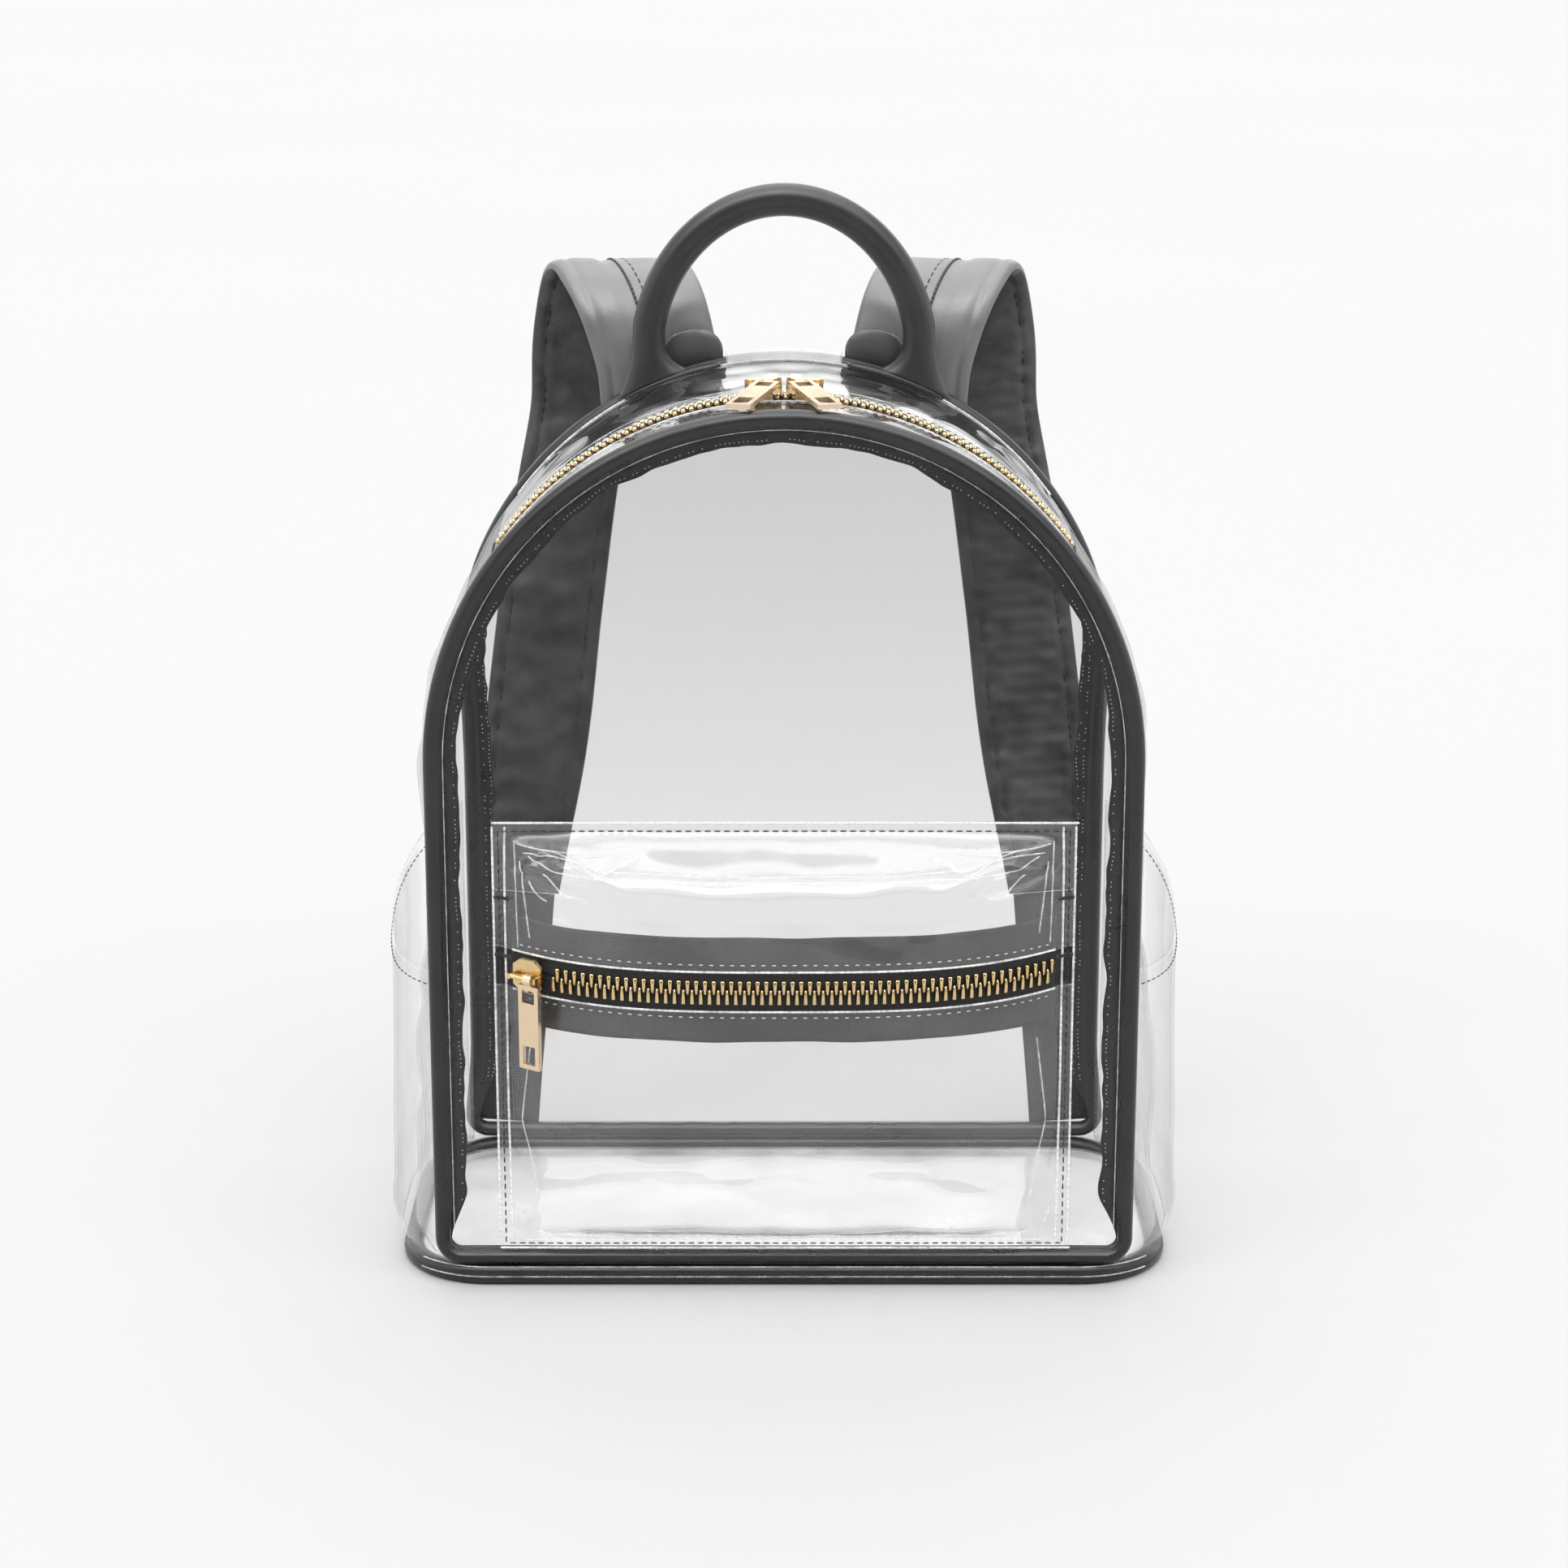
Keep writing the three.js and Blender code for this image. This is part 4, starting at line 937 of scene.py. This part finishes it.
def rim_outline(inset, steps):
    """Rounded rectangle in plan, inset from the rim, with the outward direction of each place."""
    half = np.array([RIM_HALF_WIDTH, SEAM]) - inset
    corner = RIM_CORNER - inset
    places, outs = [], []
    for quarter, signs in enumerate(((1, 1), (-1, 1), (-1, -1), (1, -1))):
        angle = (quarter + np.linspace(0, 1, steps + 1)) * math.pi / 2
        out = np.stack([np.cos(angle), np.sin(angle)], -1)
        along = quarter % 2
        away = 1 - along
        ahead = np.linspace(1, -1, (60, 20)[along])[1:-1]
        side = np.tile(signs * half, (len(ahead), 1))
        side[:, along] = ahead * signs[along] * (half - corner)[along]
        side_out = np.zeros_like(side)
        side_out[:, away] = signs[away]
        places += [signs * (half - corner) + corner * out, side]
        outs += [out, side_out]
    return np.concatenate(places), np.concatenate(outs)


def base_rim():
    places, outs = rim_outline(0, 14)
    turns = np.linspace(0, 2 * math.pi, 20, endpoint=False)
    out = RIM_WIDTH / 2 * bulge(np.cos(turns), 0.8)
    up = RIM_HEIGHT / 2 * (1 + bulge(np.sin(turns), 0.75))
    wave = 0.15 * ripple(np.arange(len(places)) * 3.0, 0, 25, 31)
    sections = []
    for i, (place, direction) in enumerate(zip(places, outs)):
        sideways = direction[0] ** 2
        ring = place + direction * (out * (1 + 0.04 * wave[i]) - 1.6 * sideways)[:, None]
        sections.append(xyz(ring[:, 0], ring[:, 1], up * (1 - 0.25 * sideways)))
    tube_piece("base_rim_roll", sections, BINDING, "base_rim", ring=True)


def floor_sheet():
    """Floor of the bag: a shallow tray, whose rings close to a spine along its middle."""
    inset = RIM_WIDTH / 2 + GAP
    half_width, half_depth, corner = RIM_HALF_WIDTH - inset, SEAM - inset, RIM_CORNER - inset
    places, outs = rim_outline(inset, 10)
    edge_height = (RIM_HEIGHT - PVC) / 2
    spine = half_width - half_depth
    inward = [FLOOR_SLOPE + more for more in (30, 16, 4, -2)]
    inward += [FLOOR_SLOPE * share for share in (0.7, 0.4, 0.15, 0)]
    sections = []
    for skin, order in ((0, inward), (1, inward[::-1])):
        for distance in order:
            z = edge_height * eased(np.clip(1 - distance / FLOOR_SLOPE, 0, 1)) + skin * PVC
            near = min(distance, corner - 1)
            share = (half_depth - distance) / (half_depth - near)
            stretch = (spine + (half_width - near - spine) * share) / (half_width - near)
            ring = (places - outs * near) * np.array([stretch, share])
            sections.append(xyz(ring[:, 0], ring[:, 1], z))
    tube_piece("base_sheet", sections, FLOOR_FILM, "base_panel")


def side_pocket(name, side, replaced):
    """Side pocket's sheet. It gives back the line along its hem, for the stitching."""
    shares = np.linspace(0, 1, 60)
    y, share = np.meshgrid(np.linspace(-GUSSET_HALF, GUSSET_HALF, 60), shares, indexing="ij")
    across = y / GUSSET_HALF
    mean, slant = (HEM_FRONT + HEM_BACK) / 2, (HEM_BACK - HEM_FRONT) / 2
    hem = mean + across * slant + (HEM_MIDDLE - mean) * (1 - across**2)
    z = FOOT + share * (hem - FOOT)
    swell = SIDE_POCKET_SWELL * smooth_read(SIDE_POCKET_FORM, "swell", share)
    hold = 1 - np.abs(across) ** SIDE_POCKET_SQUARE
    folds = 0.5 * ripple(y, z, 50, 41, 1.5) + 1.1 * ridge(z - FOOT, 45) * ripple(y, z, 16, 42, 3.5)
    grid = gusset_at(z - FOOT, y, PVC + GAP + (swell + folds * np.clip(share * 8, 0, 1)) * hold)
    grid[..., 0] = -side * grid[..., 0]
    grid[..., 2] = z
    sheet_piece(name, grid, PVC, SIDE_FILM, replaced)
    return grid[:, int(len(shares) * 0.94)]


# Zips

def tooth_shape(reach):
    """One metal tooth: X along the chain, Y from the tape's edge inwards, Z out."""
    points = []
    for row in TOOTH_FORM:
        for step in range(8):
            angle = (step + 0.5) * math.pi / 4
            x, z = bulge(math.cos(angle), 0.5), bulge(math.sin(angle), 0.5)
            points.append((x * row["width"], (row["at"] - 0.5) * reach, z * row["height"]))
    last = len(points) - 8
    faces = [tuple(range(8)), tuple(last + step for step in reversed(range(8)))]
    return points, grid_faces(len(TOOTH_FORM), 8, ring_columns=True) + faces


def teeth(name, place_at, start, end, replaced):
    """Both rows of a chain. place_at(run, across, out) gives a place."""
    half = CHAIN_WIDTH / 2
    reach = half + TOOTH_OVERLAP
    frames = []
    for row, side in enumerate((-1, 1)):
        middle = side * (half - reach / 2)
        for run in np.arange(start + (0.5 * row + 0.5) * TOOTH_PITCH, end, TOOTH_PITCH):
            place = place_at(run, middle, TOOTH_LIFT)
            x = unit(place_at(run + 0.2, middle, TOOTH_LIFT) - place)
            across = place_at(run, middle + 0.2, TOOTH_LIFT) - place
            y = unit(across - x * (across @ x))
            frames.append((place, np.array([-side * x, -side * y, np.cross(x, y)])))
    scatter_piece(name, tooth_shape(reach), frames, GOLD, replaced)


# Handle and straps

def catmull(points, per_span=24):
    """Centripetal curve through points, as evenly read shares of its length."""
    points = np.asarray(points, float)
    padded = np.concatenate([[2 * points[0] - points[1]], points, [2 * points[-1] - points[-2]]])
    dense = []
    for i in range(1, len(padded) - 2):
        p0, p1, p2, p3 = padded[i - 1:i + 3]
        d0, d1, d2 = (max(np.sum((b - a) ** 2) ** 0.25, 1e-4) for a, b in ((p0, p1), (p1, p2), (p2, p3)))
        start = ((p1 - p0) / d0 - (p2 - p0) / (d0 + d1) + (p2 - p1) / d1) * d1
        end = ((p2 - p1) / d1 - (p3 - p1) / (d1 + d2) + (p3 - p2) / d2) * d1
        dense += [hermite(t, p1, p2, start, end) for t in np.linspace(0, 1, per_span, endpoint=False)]
    dense = np.array(dense + [points[-1]])
    run = run_of(dense)

    def at(wanted):
        return np.stack([np.interp(wanted, run / run[-1], dense[:, k]) for k in range(3)], -1)

    return at, run[-1]


def strap_route(side):
    root_height = float(arch_at(along_at_x(STRAP_ROOT))[1])
    points = []
    for row in STRAP_FORM:
        x = side * (STRAP_ROOT + row["out"] * STRAP_SPREAD)
        y = STRAP_FACE + row["back"] * STRAP_REACH + row["thick"] * STRAP_THICKNESS / 2
        points.append((x, y, row["up"] * root_height + row["rise"] * STRAP_RISE))
    return catmull(points)


def strap_frames(side, shares):
    """Middle of the strap at shares of its route, with its ways across and out, and the route's length."""
    route, length = strap_route(side)
    forward = unit(route(np.minimum(shares + 0.004, 1)) - route(np.maximum(shares - 0.004, 0)))
    across = unit(np.array([1.0, 0, 0]) - forward * forward[:, :1])
    return route(shares), across, np.cross(across, forward), length


def strap_size(shares):
    width, thick = (smooth_read(STRAP_WIDTHS, column, shares) for column in ("width", "thick"))
    return STRAP_WIDTH * width, STRAP_THICKNESS * thick


def strap(name, side, replaced):
    shares = np.linspace(0, STRAP_PAD_SHARE, 230)
    place, across, out, length = strap_frames(side, shares)
    width, thick = strap_size(shares)
    turns = np.linspace(0, 2 * math.pi, 72, endpoint=False)
    face = np.sign(np.sin(turns))
    sections, places = [], []
    for i, share in enumerate(shares):
        half = width[i] / 2
        a = half * bulge(np.cos(turns), 0.55)
        b = thick[i] / 2 * bulge(np.sin(turns), 0.75)
        run = share * length
        seam = np.where(face > 0, ridge(a - side * SEAM_SHARE * width[i], 0.9), 0) * 1.3
        edge = ridge(np.abs(a) - (half - EDGE_STITCH), 1.1) * 0.7
        edge = np.where((face > 0) & (a * side < 0), 0, edge)
        inner = np.clip(-face, 0, 1)
        wrinkle = 0.55 * ripple(a, run, 17, 51 + (side > 0), 0.45)
        soft = 0.35 * ripple(a, run, 34, 53, 0.6)
        fade = np.clip((half - np.abs(a)) / 4, 0, 1)
        b = b + face * fade * (-seam - edge + inner * wrinkle + soft * 0.5)
        sections.append(place[i] + across[i] * a[:, None] + out[i] * b[:, None])
        places.append(np.stack([np.full_like(a, run), a], -1))
    piece = tube_piece(name, sections, STRAP_PAINTED_SHEEN, replaced, places=np.array(places))
    # Painted sheen: the outer face takes the lighter strap look, the inner face the dark lining
    piece.data.materials.append(STRAP_INNER[0])
    outer = np.tile(np.sin(turns + math.pi / len(turns)) > -0.2, len(shares) - 1)
    for polygon, is_outer in zip(piece.data.polygons, outer):
        polygon.material_index = 0 if is_outer else 1


def strap_stitch_lines(side):
    """Lines of the outer face, its seam's first, and then the stitching near the edges of the inner face."""
    shares = np.linspace(0.03, STRAP_PAD_SHARE - 0.02, 200)
    place, across, out, _ = strap_frames(side, shares)
    width, thick = strap_size(shares)
    lines = []
    for face, offset in ((1, side * (SEAM_SHARE * width - 3.4)), (1, side * (SEAM_SHARE * width - 7.0)),
                         (-1, width / 2 - EDGE_STITCH), (-1, -(width / 2 - EDGE_STITCH))):
        share = np.clip(1 - (np.abs(offset) / (width / 2)) ** 3.6, 0, 1)
        rise = thick / 2 * share**0.42
        if abs(offset[0]) > width[0] / 4:
            rise = rise - 0.7
        lines.append((place + across * offset[:, None] + out * (face * rise)[:, None], out * face))
    return lines


def webbing(name, side, replaced):
    length = strap_route(side)[1]
    shares = np.linspace(STRAP_PAD_SHARE + GAP / length, 1, 60)
    place, across, _, _ = strap_frames(side, shares)
    a = np.linspace(-WEBBING_WIDTH / 2, WEBBING_WIDTH / 2, 15)
    grid = place[:, None, :] + across[:, None, :] * a[None, :, None]
    places = np.stack(np.meshgrid(shares * length, a, indexing="ij"), -1)
    sheet_piece(name, grid, WEBBING, WEB, replaced, places)


def handle():
    radius = HANDLE_THICKNESS / 2
    turns = np.linspace(0, 2 * math.pi, 28, endpoint=False)
    seat = PVC / 2 + GAP + PU + GAP
    centre = float(gusset_at(along_at_x(HANDLE_HALF_WIDTH), HANDLE_Y, seat)[2]) + HANDLE_LEG

    def foot(share):
        """Section of the foot: it spreads outwards and inwards as it comes down to its patch."""
        more = 1.15 * (1 - share) ** 2
        reach = radius * np.cos(turns)
        x = HANDLE_HALF_WIDTH + reach * np.where(reach > 0, 1 + 0.8 * more, 1 + 1.5 * more)
        y = HANDLE_Y + radius * (1 + 0.05 * more) * np.sin(turns)
        return gusset_at(along_at_x(x), y, seat - 0.2)

    def ring(turn):
        out = unit(np.array([math.cos(turn) / HANDLE_HALF_WIDTH, math.sin(turn) / HANDLE_RISE]))
        x = HANDLE_HALF_WIDTH * math.cos(turn)
        z = centre + HANDLE_RISE * math.sin(turn)
        crease = 1 - 0.05 * ridge(turns - 1.5 * math.pi, 0.3)
        reach = radius * np.cos(turns) * crease
        return xyz(x + out[0] * reach, HANDLE_Y + radius * np.sin(turns) * crease, z + out[1] * reach)

    start = 0.2
    climb = np.linspace(0, 1, 16)[:-1]
    rows = [foot(share) * (1 - share) + ring(start) * share for share in climb]
    other_foot = [row * np.array([-1, 1, 1]) for row in rows[::-1]]
    rows += [ring(turn) for turn in np.linspace(start, math.pi - start, 90)]
    tube_piece("handle_grip", rows + other_foot, GRIP, "handle")


def patch(name, side, replaced):
    centre = float(along_at_x(side * (HANDLE_HALF_WIDTH + PATCH_MARGIN - PATCH_LENGTH / 2)))
    u, v = np.meshgrid(np.linspace(-1, 1, 30), np.linspace(-1, 1, 14), indexing="ij")
    squeeze = np.maximum((1 - np.abs(u) ** 6) ** 0.35, 0.45)
    puff = 0.9 * (1 - u**4) * (1 - v**4)
    y = HANDLE_Y + v * PATCH_WIDTH / 2 * squeeze
    grid = gusset_at(centre + u * PATCH_LENGTH / 2, y, PVC / 2 + GAP + PU / 2 + puff)
    sheet_piece(name, grid, PU, GRIP, replaced)


def root_cap(name, side):
    """Small rounded cover where the strap is sewn in, standing behind the back's seam."""
    u, v = np.meshgrid(np.linspace(-1, 1, 24), np.linspace(0, 1, 14), indexing="ij")
    reach = u * (CAP_HALF_WIDTH * (1 - v**3) ** 0.5 + 0.4)
    x = side * CAP_MIDDLE + reach
    foot_z = ARCH_CENTRE + np.sqrt(ARCH_RADIUS**2 - x**2) - 1.2
    z = foot_z * (1 - v) + (CAP_TOP - side * reach * 0.12) * v
    y = CAP_FACE + 1.2 * v - 1.1 * (1 - u**4) * np.sin(v * math.pi).clip(0) ** 0.7
    # Painted light: the cap's black leather is made lighter, as where light falls on it
    sheet_piece(name, xyz(x, y, z), PU, CAP_PAINTED_LIGHT)


def soften(node_name, width, look):
    """A hard CAD piece with its edges rounded and its finish set."""
    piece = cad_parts[node_name]
    piece.data.materials.clear()
    piece.data.materials.append(look[0])
    bevel = piece.modifiers.new("round", "BEVEL")
    bevel.width = width * MM
    bevel.segments = 3
    bevel.limit_method = "ANGLE"
    bevel.angle_limit = math.radians(35)
    bevel.harden_normals = True


# Studio

def world_light():
    world = bpy.data.worlds.new("studio")
    bpy.context.scene.world = world
    world.use_nodes = True
    tree = world.node_tree
    tree.nodes.clear()
    direction = node(tree, "SeparateXYZ", {0: node(tree, "TexCoord").outputs["Generated"]}).outputs
    axes = {"X": maths(tree, "ABSOLUTE", direction["X"]), "Y": direction["Y"], "Z": direction["Z"]}

    def soft(value, start, end):
        inputs = {"Value": value, "From Min": start, "From Max": end}
        return node(tree, "MapRange", inputs, interpolation_type="SMOOTHSTEP").outputs["Result"]

    level = SKY_LEVEL
    for row in LIGHT_FIELDS:
        across = soft(axes[row["axis"]], row["start"], row["full"])
        field = maths(tree, "MULTIPLY", across, soft(direction["Z"], row["low"], row["high"]))
        level = maths(tree, "ADD", maths(tree, "MULTIPLY", field, row["strength"]), level)
    level = maths(tree, "MULTIPLY", level, WORLD_LEVEL)
    background = node(tree, "Background", {"Color": rgba(1), "Strength": level})
    node(tree, "OutputWorld", {"Surface": background.outputs[0]})


def sun(name, azimuth, elevation, strength, spread):
    data = bpy.data.lights.new(name, "SUN")
    data.energy = strength
    data.angle = math.radians(spread)
    lamp = bpy.data.objects.new(name, data)
    bpy.context.scene.collection.objects.link(lamp)
    a, e = math.radians(azimuth), math.radians(elevation)
    back = Vector((math.sin(a) * math.cos(e), -math.cos(a) * math.cos(e), math.sin(e)))
    lamp.rotation_euler = (-back).to_track_quat("-Z", "Y").to_euler()
    lamp.location = back * 2


def camera():
    data = bpy.data.cameras.new("camera")
    data.sensor_width = SENSOR_WIDTH
    data.lens = SENSOR_WIDTH * FOCAL_PIXELS / FRAME_PIXELS
    data.clip_end = 100
    made = bpy.data.objects.new("camera", data)
    bpy.context.scene.collection.objects.link(made)
    made.location = CAMERA_PLACE
    made.rotation_euler = (CAMERA_AIM - made.location).to_track_quat("-Z", "Y").to_euler()
    bpy.context.scene.camera = made


def ground():
    material, tree = tree_of("pale_floor")
    colour = shade(tree, noise(tree, 900, 2), 0.38, 0.387)
    surface(tree, node(tree, "BsdfDiffuse", {"Color": colour}).outputs[0])
    mesh = bpy.data.meshes.new("ground")
    far = 40
    mesh.from_pydata([(-far, -far, 0), (far, -far, 0), (far, far, 0), (-far, far, 0)], [], [(0, 1, 2, 3)])
    made = bpy.data.objects.new("ground", mesh)
    bpy.context.scene.collection.objects.link(made)
    made.location.z = -0.0002
    mesh.materials.append(material)


# Lines for edges and stitches, each with its outward direction
FRONT = (0, -1, 0)


def gusset_line(along, y, out):
    track = gusset_at(along, y, out)
    return track, gusset_at(along, y, out + 1) - track


def pocket_line(x, z, out=LIP):
    return pocket_at(x, z, out), FRONT


def welt_line(height, out):
    """Line round the front of the base, from corner to corner."""
    places, outs = rim_outline(0, 14)
    track = places + outs * out
    near = track[:, 1] < -SEAM + 9
    order = np.argsort(track[near][:, 0])
    track, outs = track[near][order], outs[near][order]
    return xyz(track[:, 0], track[:, 1], height), xyz(outs[:, 0], outs[:, 1], 0.0)


camera()
ground()
world_light()
for row in SUNS:
    sun(**row)

# Shell of the bag
panel("front_window", -SEAM, "front_panel", 11)
panel("back_window", SEAM, "back_panel", 14)
binding("front_seam_roll", -SEAM, 1, "front_binding", 61, FRONT_FLAP, 0)
binding("back_seam_roll", SEAM, -1, "back_binding", 64, BACK_FLAP, BACK_LEAN)
needle_dots("front_flap_needle_dots", -SEAM, 1, 61, FRONT_FLAP, 0, [0.72])
needle_dots("back_flap_needle_dots", SEAM, -1, 64, BACK_FLAP, BACK_LEAN, [0.25, 0.8])
seam_line("front_seam_light", -ROLL - 0.2, -SEAM - 1.0, 0.22)
base_rim()
floor_sheet()
wall_run = np.linspace(0, ZIP_END - GAP / 2, 110)
wall_across = np.linspace(-GUSSET_HALF, GUSSET_HALF, 56)
gusset_sheet("side_wall_film_left", "side_wall_left", wall_run, wall_across, SIDE_FILM)
gusset_sheet("side_wall_film_right", "side_wall_right", RUN - wall_run, wall_across, SIDE_FILM)

# Top of the bag with the main zip
zip_run = np.linspace(ZIP_END + GAP / 2, RUN - ZIP_END - GAP / 2, 130)
for part, outer_y, inner_y, columns, tape_y, mid_y in (
    ("front", -GUSSET_HALF, LIP_FRONT, 12, ZIP_Y - TAPE_FRONT, ZIP_Y - GAP / 2),
    ("rear", GUSSET_HALF, LIP_REAR, 44, ZIP_Y + TAPE_REAR, ZIP_Y + GAP / 2),
):
    film_across = np.sort(np.linspace(inner_y, outer_y, columns))
    tape_across = np.sort(np.linspace(mid_y, tape_y, 8))
    gusset_sheet(f"zip_strip_film_{part}", f"zip_strip_{part}", zip_run, film_across, TOP_FILM)
    gusset_sheet(f"zip_tape_weave_{part}", f"main_zip_tape_{part}", zip_run, tape_across, ZIP_TAPE)
teeth("main_zip_teeth", lambda run, across, out: gusset_at(run, ZIP_Y + across, out),
      ZIP_END + 1, RUN - ZIP_END - 1, "main_zip_chain")

# Painted highlights as pale edges beside the main zip, with its stitches, and painted highlight lines on the
# welt between the foot and the base
lip_run = np.linspace(ZIP_END + 1, RUN - ZIP_END - 1, 240)
edge_cord("zip_lip_edge_highlights", [
    gusset_line(lip_run, LIP_FRONT - 0.2, LIP),
    gusset_line(lip_run, LIP_REAR + 0.2, LIP),
    gusset_line(lip_run, -GUSSET_HALF + 0.8, LIP + 0.3),
    gusset_line(lip_run, GUSSET_HALF - 1.2, LIP + 0.3),
], 0.4, EDGE_HIGHLIGHT)
top_edge_film("top_edge_film")
edge_cord("zip_lip_fold_highlights", [
    gusset_line(lip_run, -GUSSET_HALF + 3.4, LIP),
    gusset_line(lip_run, LIP_REAR + 7, LIP + 0.2),
], 0.3, FAINT_HIGHLIGHT)
stitches("zip_lip_stitches", [
    gusset_line(lip_run, LIP_FRONT - 2.6, LIP),
    gusset_line(lip_run, LIP_REAR + 2.6, LIP),
], SPECK, length=2.0, radius=0.2)
edge_cord("base_welt_highlights", [
    welt_line(6.5, RIM_WIDTH / 2 - 0.9),
    welt_line(3.3, RIM_WIDTH / 2),
], 0.3, FAINT_HIGHLIGHT)

# Front pocket
pocket_share = np.linspace(-1, 1, 151)
pocket_x = (0.4 * np.sin(pocket_share * math.pi / 2) + 0.6 * pocket_share) * POCKET_HALF
tape_x = np.linspace(-1, 1, 120) * (POCKET_HALF - 2 * POCKET_FLANGE)
for part, up, low, high, rows in (
    ("upper", 1, SLOT_TOP, POCKET_TOP, 60),
    ("lower", -1, POCKET_BOTTOM, SLOT_BOTTOM, 90),
):
    z, x = np.meshgrid(np.linspace(low, high, rows), pocket_x, indexing="ij")
    sheet_piece(f"pocket_{part}_film", pocket_at(x, z), PVC, POCKET_FILM, f"pocket_{part}")
    tape_z = POCKET_ZIP_HEIGHT + up * np.linspace(GAP / 2, POCKET_TAPE, 14)
    z, x = np.meshgrid(tape_z, tape_x, indexing="ij")
    tape = pocket_at(x, z, TAPE_DROP)
    places = np.stack([x, z], -1)
    sheet_piece(f"pocket_tape_weave_{part}", tape, TAPE, ZIP_TAPE, f"pocket_tape_{part}", places)
teeth("pocket_zip_teeth", lambda run, across, out: pocket_at(run, POCKET_ZIP_HEIGHT + across, out),
      POCKET_CHAIN_START, POCKET_CHAIN_END, "pocket_zip_chain")

# Sewing of the front pocket, and painted highlights as pale lines on its edges and on the folds that catch
# the light
STITCH_INSET = 2.3
EDGE_INSET = 0.4
WELD_INSET = 4.6
top_x = np.linspace(-1, 1, 120) * (POCKET_HALF - 3)
edge_x = np.linspace(-1, 1, 160) * (POCKET_HALF - EDGE_INSET)
slot_x = np.linspace(-1, 1, 160) * (POCKET_HALF - 7)
needle_x = np.linspace(-1, 1, 160) * (POCKET_HALF - 9)
side_z = np.linspace(POCKET_BOTTOM + 2, POCKET_TOP - 2, 120)
stitches("pocket_seam_stitches", [
    pocket_line(top_x, POCKET_TOP - 3.1),
    pocket_line(STITCH_INSET - POCKET_HALF, side_z),
    pocket_line(POCKET_HALF - STITCH_INSET, side_z),
    pocket_line(top_x, POCKET_BOTTOM + 2.2),
], THREAD)
side_edges = []
for inset in (EDGE_INSET, WELD_INSET):
    side_edges += [pocket_line(side * (POCKET_HALF - inset), side_z) for side in (-1, 1)]
edge_cord("pocket_cut_edge_highlights", [
    pocket_line(edge_x, POCKET_TOP - 0.3),
    pocket_line(edge_x, POCKET_BOTTOM + 0.4),
    *side_edges,
    pocket_line(slot_x, SLOT_TOP + 0.2),
    pocket_line(slot_x, SLOT_BOTTOM - 0.2),
], 0.42, EDGE_HIGHLIGHT)
bar_tacks = []
tack_rows = (-TACK_SPACING, 0.0, TACK_SPACING)
for side in (-1, 1):
    tack_x = side * (POCKET_HALF - np.linspace(0.5, 6.5, 12))
    bar_tacks += [pocket_line(tack_x, z + off, LIP + 0.1) for z in POCKET_TACKS for off in tack_rows]
    tack_run = along_at_x(0) + side * (RUN / 2 - ZIP_END + 0.6)
    tack_y = np.linspace(ZIP_Y - 7, ZIP_Y + 5, 12)
    bar_tacks += [(gusset_at(tack_run + off, tack_y, LIP + 0.3), (side, 0, 0.6)) for off in tack_rows[::2]]
stitches("bar_tacks", bar_tacks, THREAD, pitch=1.5, length=1.8, radius=0.32)
stitches("pocket_zip_stitches", [
    pocket_line(needle_x, SLOT_TOP + 2.6),
    pocket_line(needle_x, SLOT_BOTTOM - 2.2),
], SPECK, pitch=3.4, length=1.5, radius=0.2)
fold_lines = []
for row in POCKET_FOLD_LINES:
    share = np.linspace(0, 1, 40)
    bow = row["bow"] * (1 - (2 * share - 1) ** 2)
    fold_x = row["u"] + (row["to_u"] - row["u"]) * share
    fold_lines.append(pocket_line(fold_x, row["v"] + (row["to_v"] - row["v"]) * share + bow))
edge_cord("pocket_fold_lights", fold_lines, 0.3, FAINT_HIGHLIGHT)

# Side pockets, handle, straps and hardware
hem_lines = []
for side, word in ((-1, "left"), (1, "right")):
    hem = side_pocket(f"side_pocket_film_{word}", side, f"side_pocket_{word}")
    hem_lines.append((hem + np.array([side * PVC / 2, 0, 0]), (side, 0, 0)))
stitches("side_hem_stitches", hem_lines, THREAD, pitch=3.0, length=2.2, radius=0.24)
handle()
for side, word in ((-1, "left"), (1, "right")):
    patch(f"handle_tab_{word}", side, f"handle_patch_{word}")
    strap(f"strap_pad_{word}", side, f"strap_{word}")
    webbing(f"strap_web_{word}", side, f"strap_webbing_{word}")
    root_cap(f"strap_root_cap_{word}", side)
    seam, *stitched = strap_stitch_lines(side)
    edge_cord(f"strap_seam_{word}", [seam], 0.5, GRIP)
    stitches(f"strap_stitches_{word}", stitched, THREAD, pitch=3.6, length=2.7, radius=0.3)
    soften(f"strap_adjuster_{word}", 0.5, SLIDE)
for prefix in ("main_left", "main_right", "pocket"):
    soften(f"{prefix}_slider", 0.35, GOLD)
    soften(f"{prefix}_pull", 0.22, CREAM)

bpy.context.scene.view_settings.view_transform = "Standard"
bpy.context.scene.cycles.transparent_max_bounces = 48
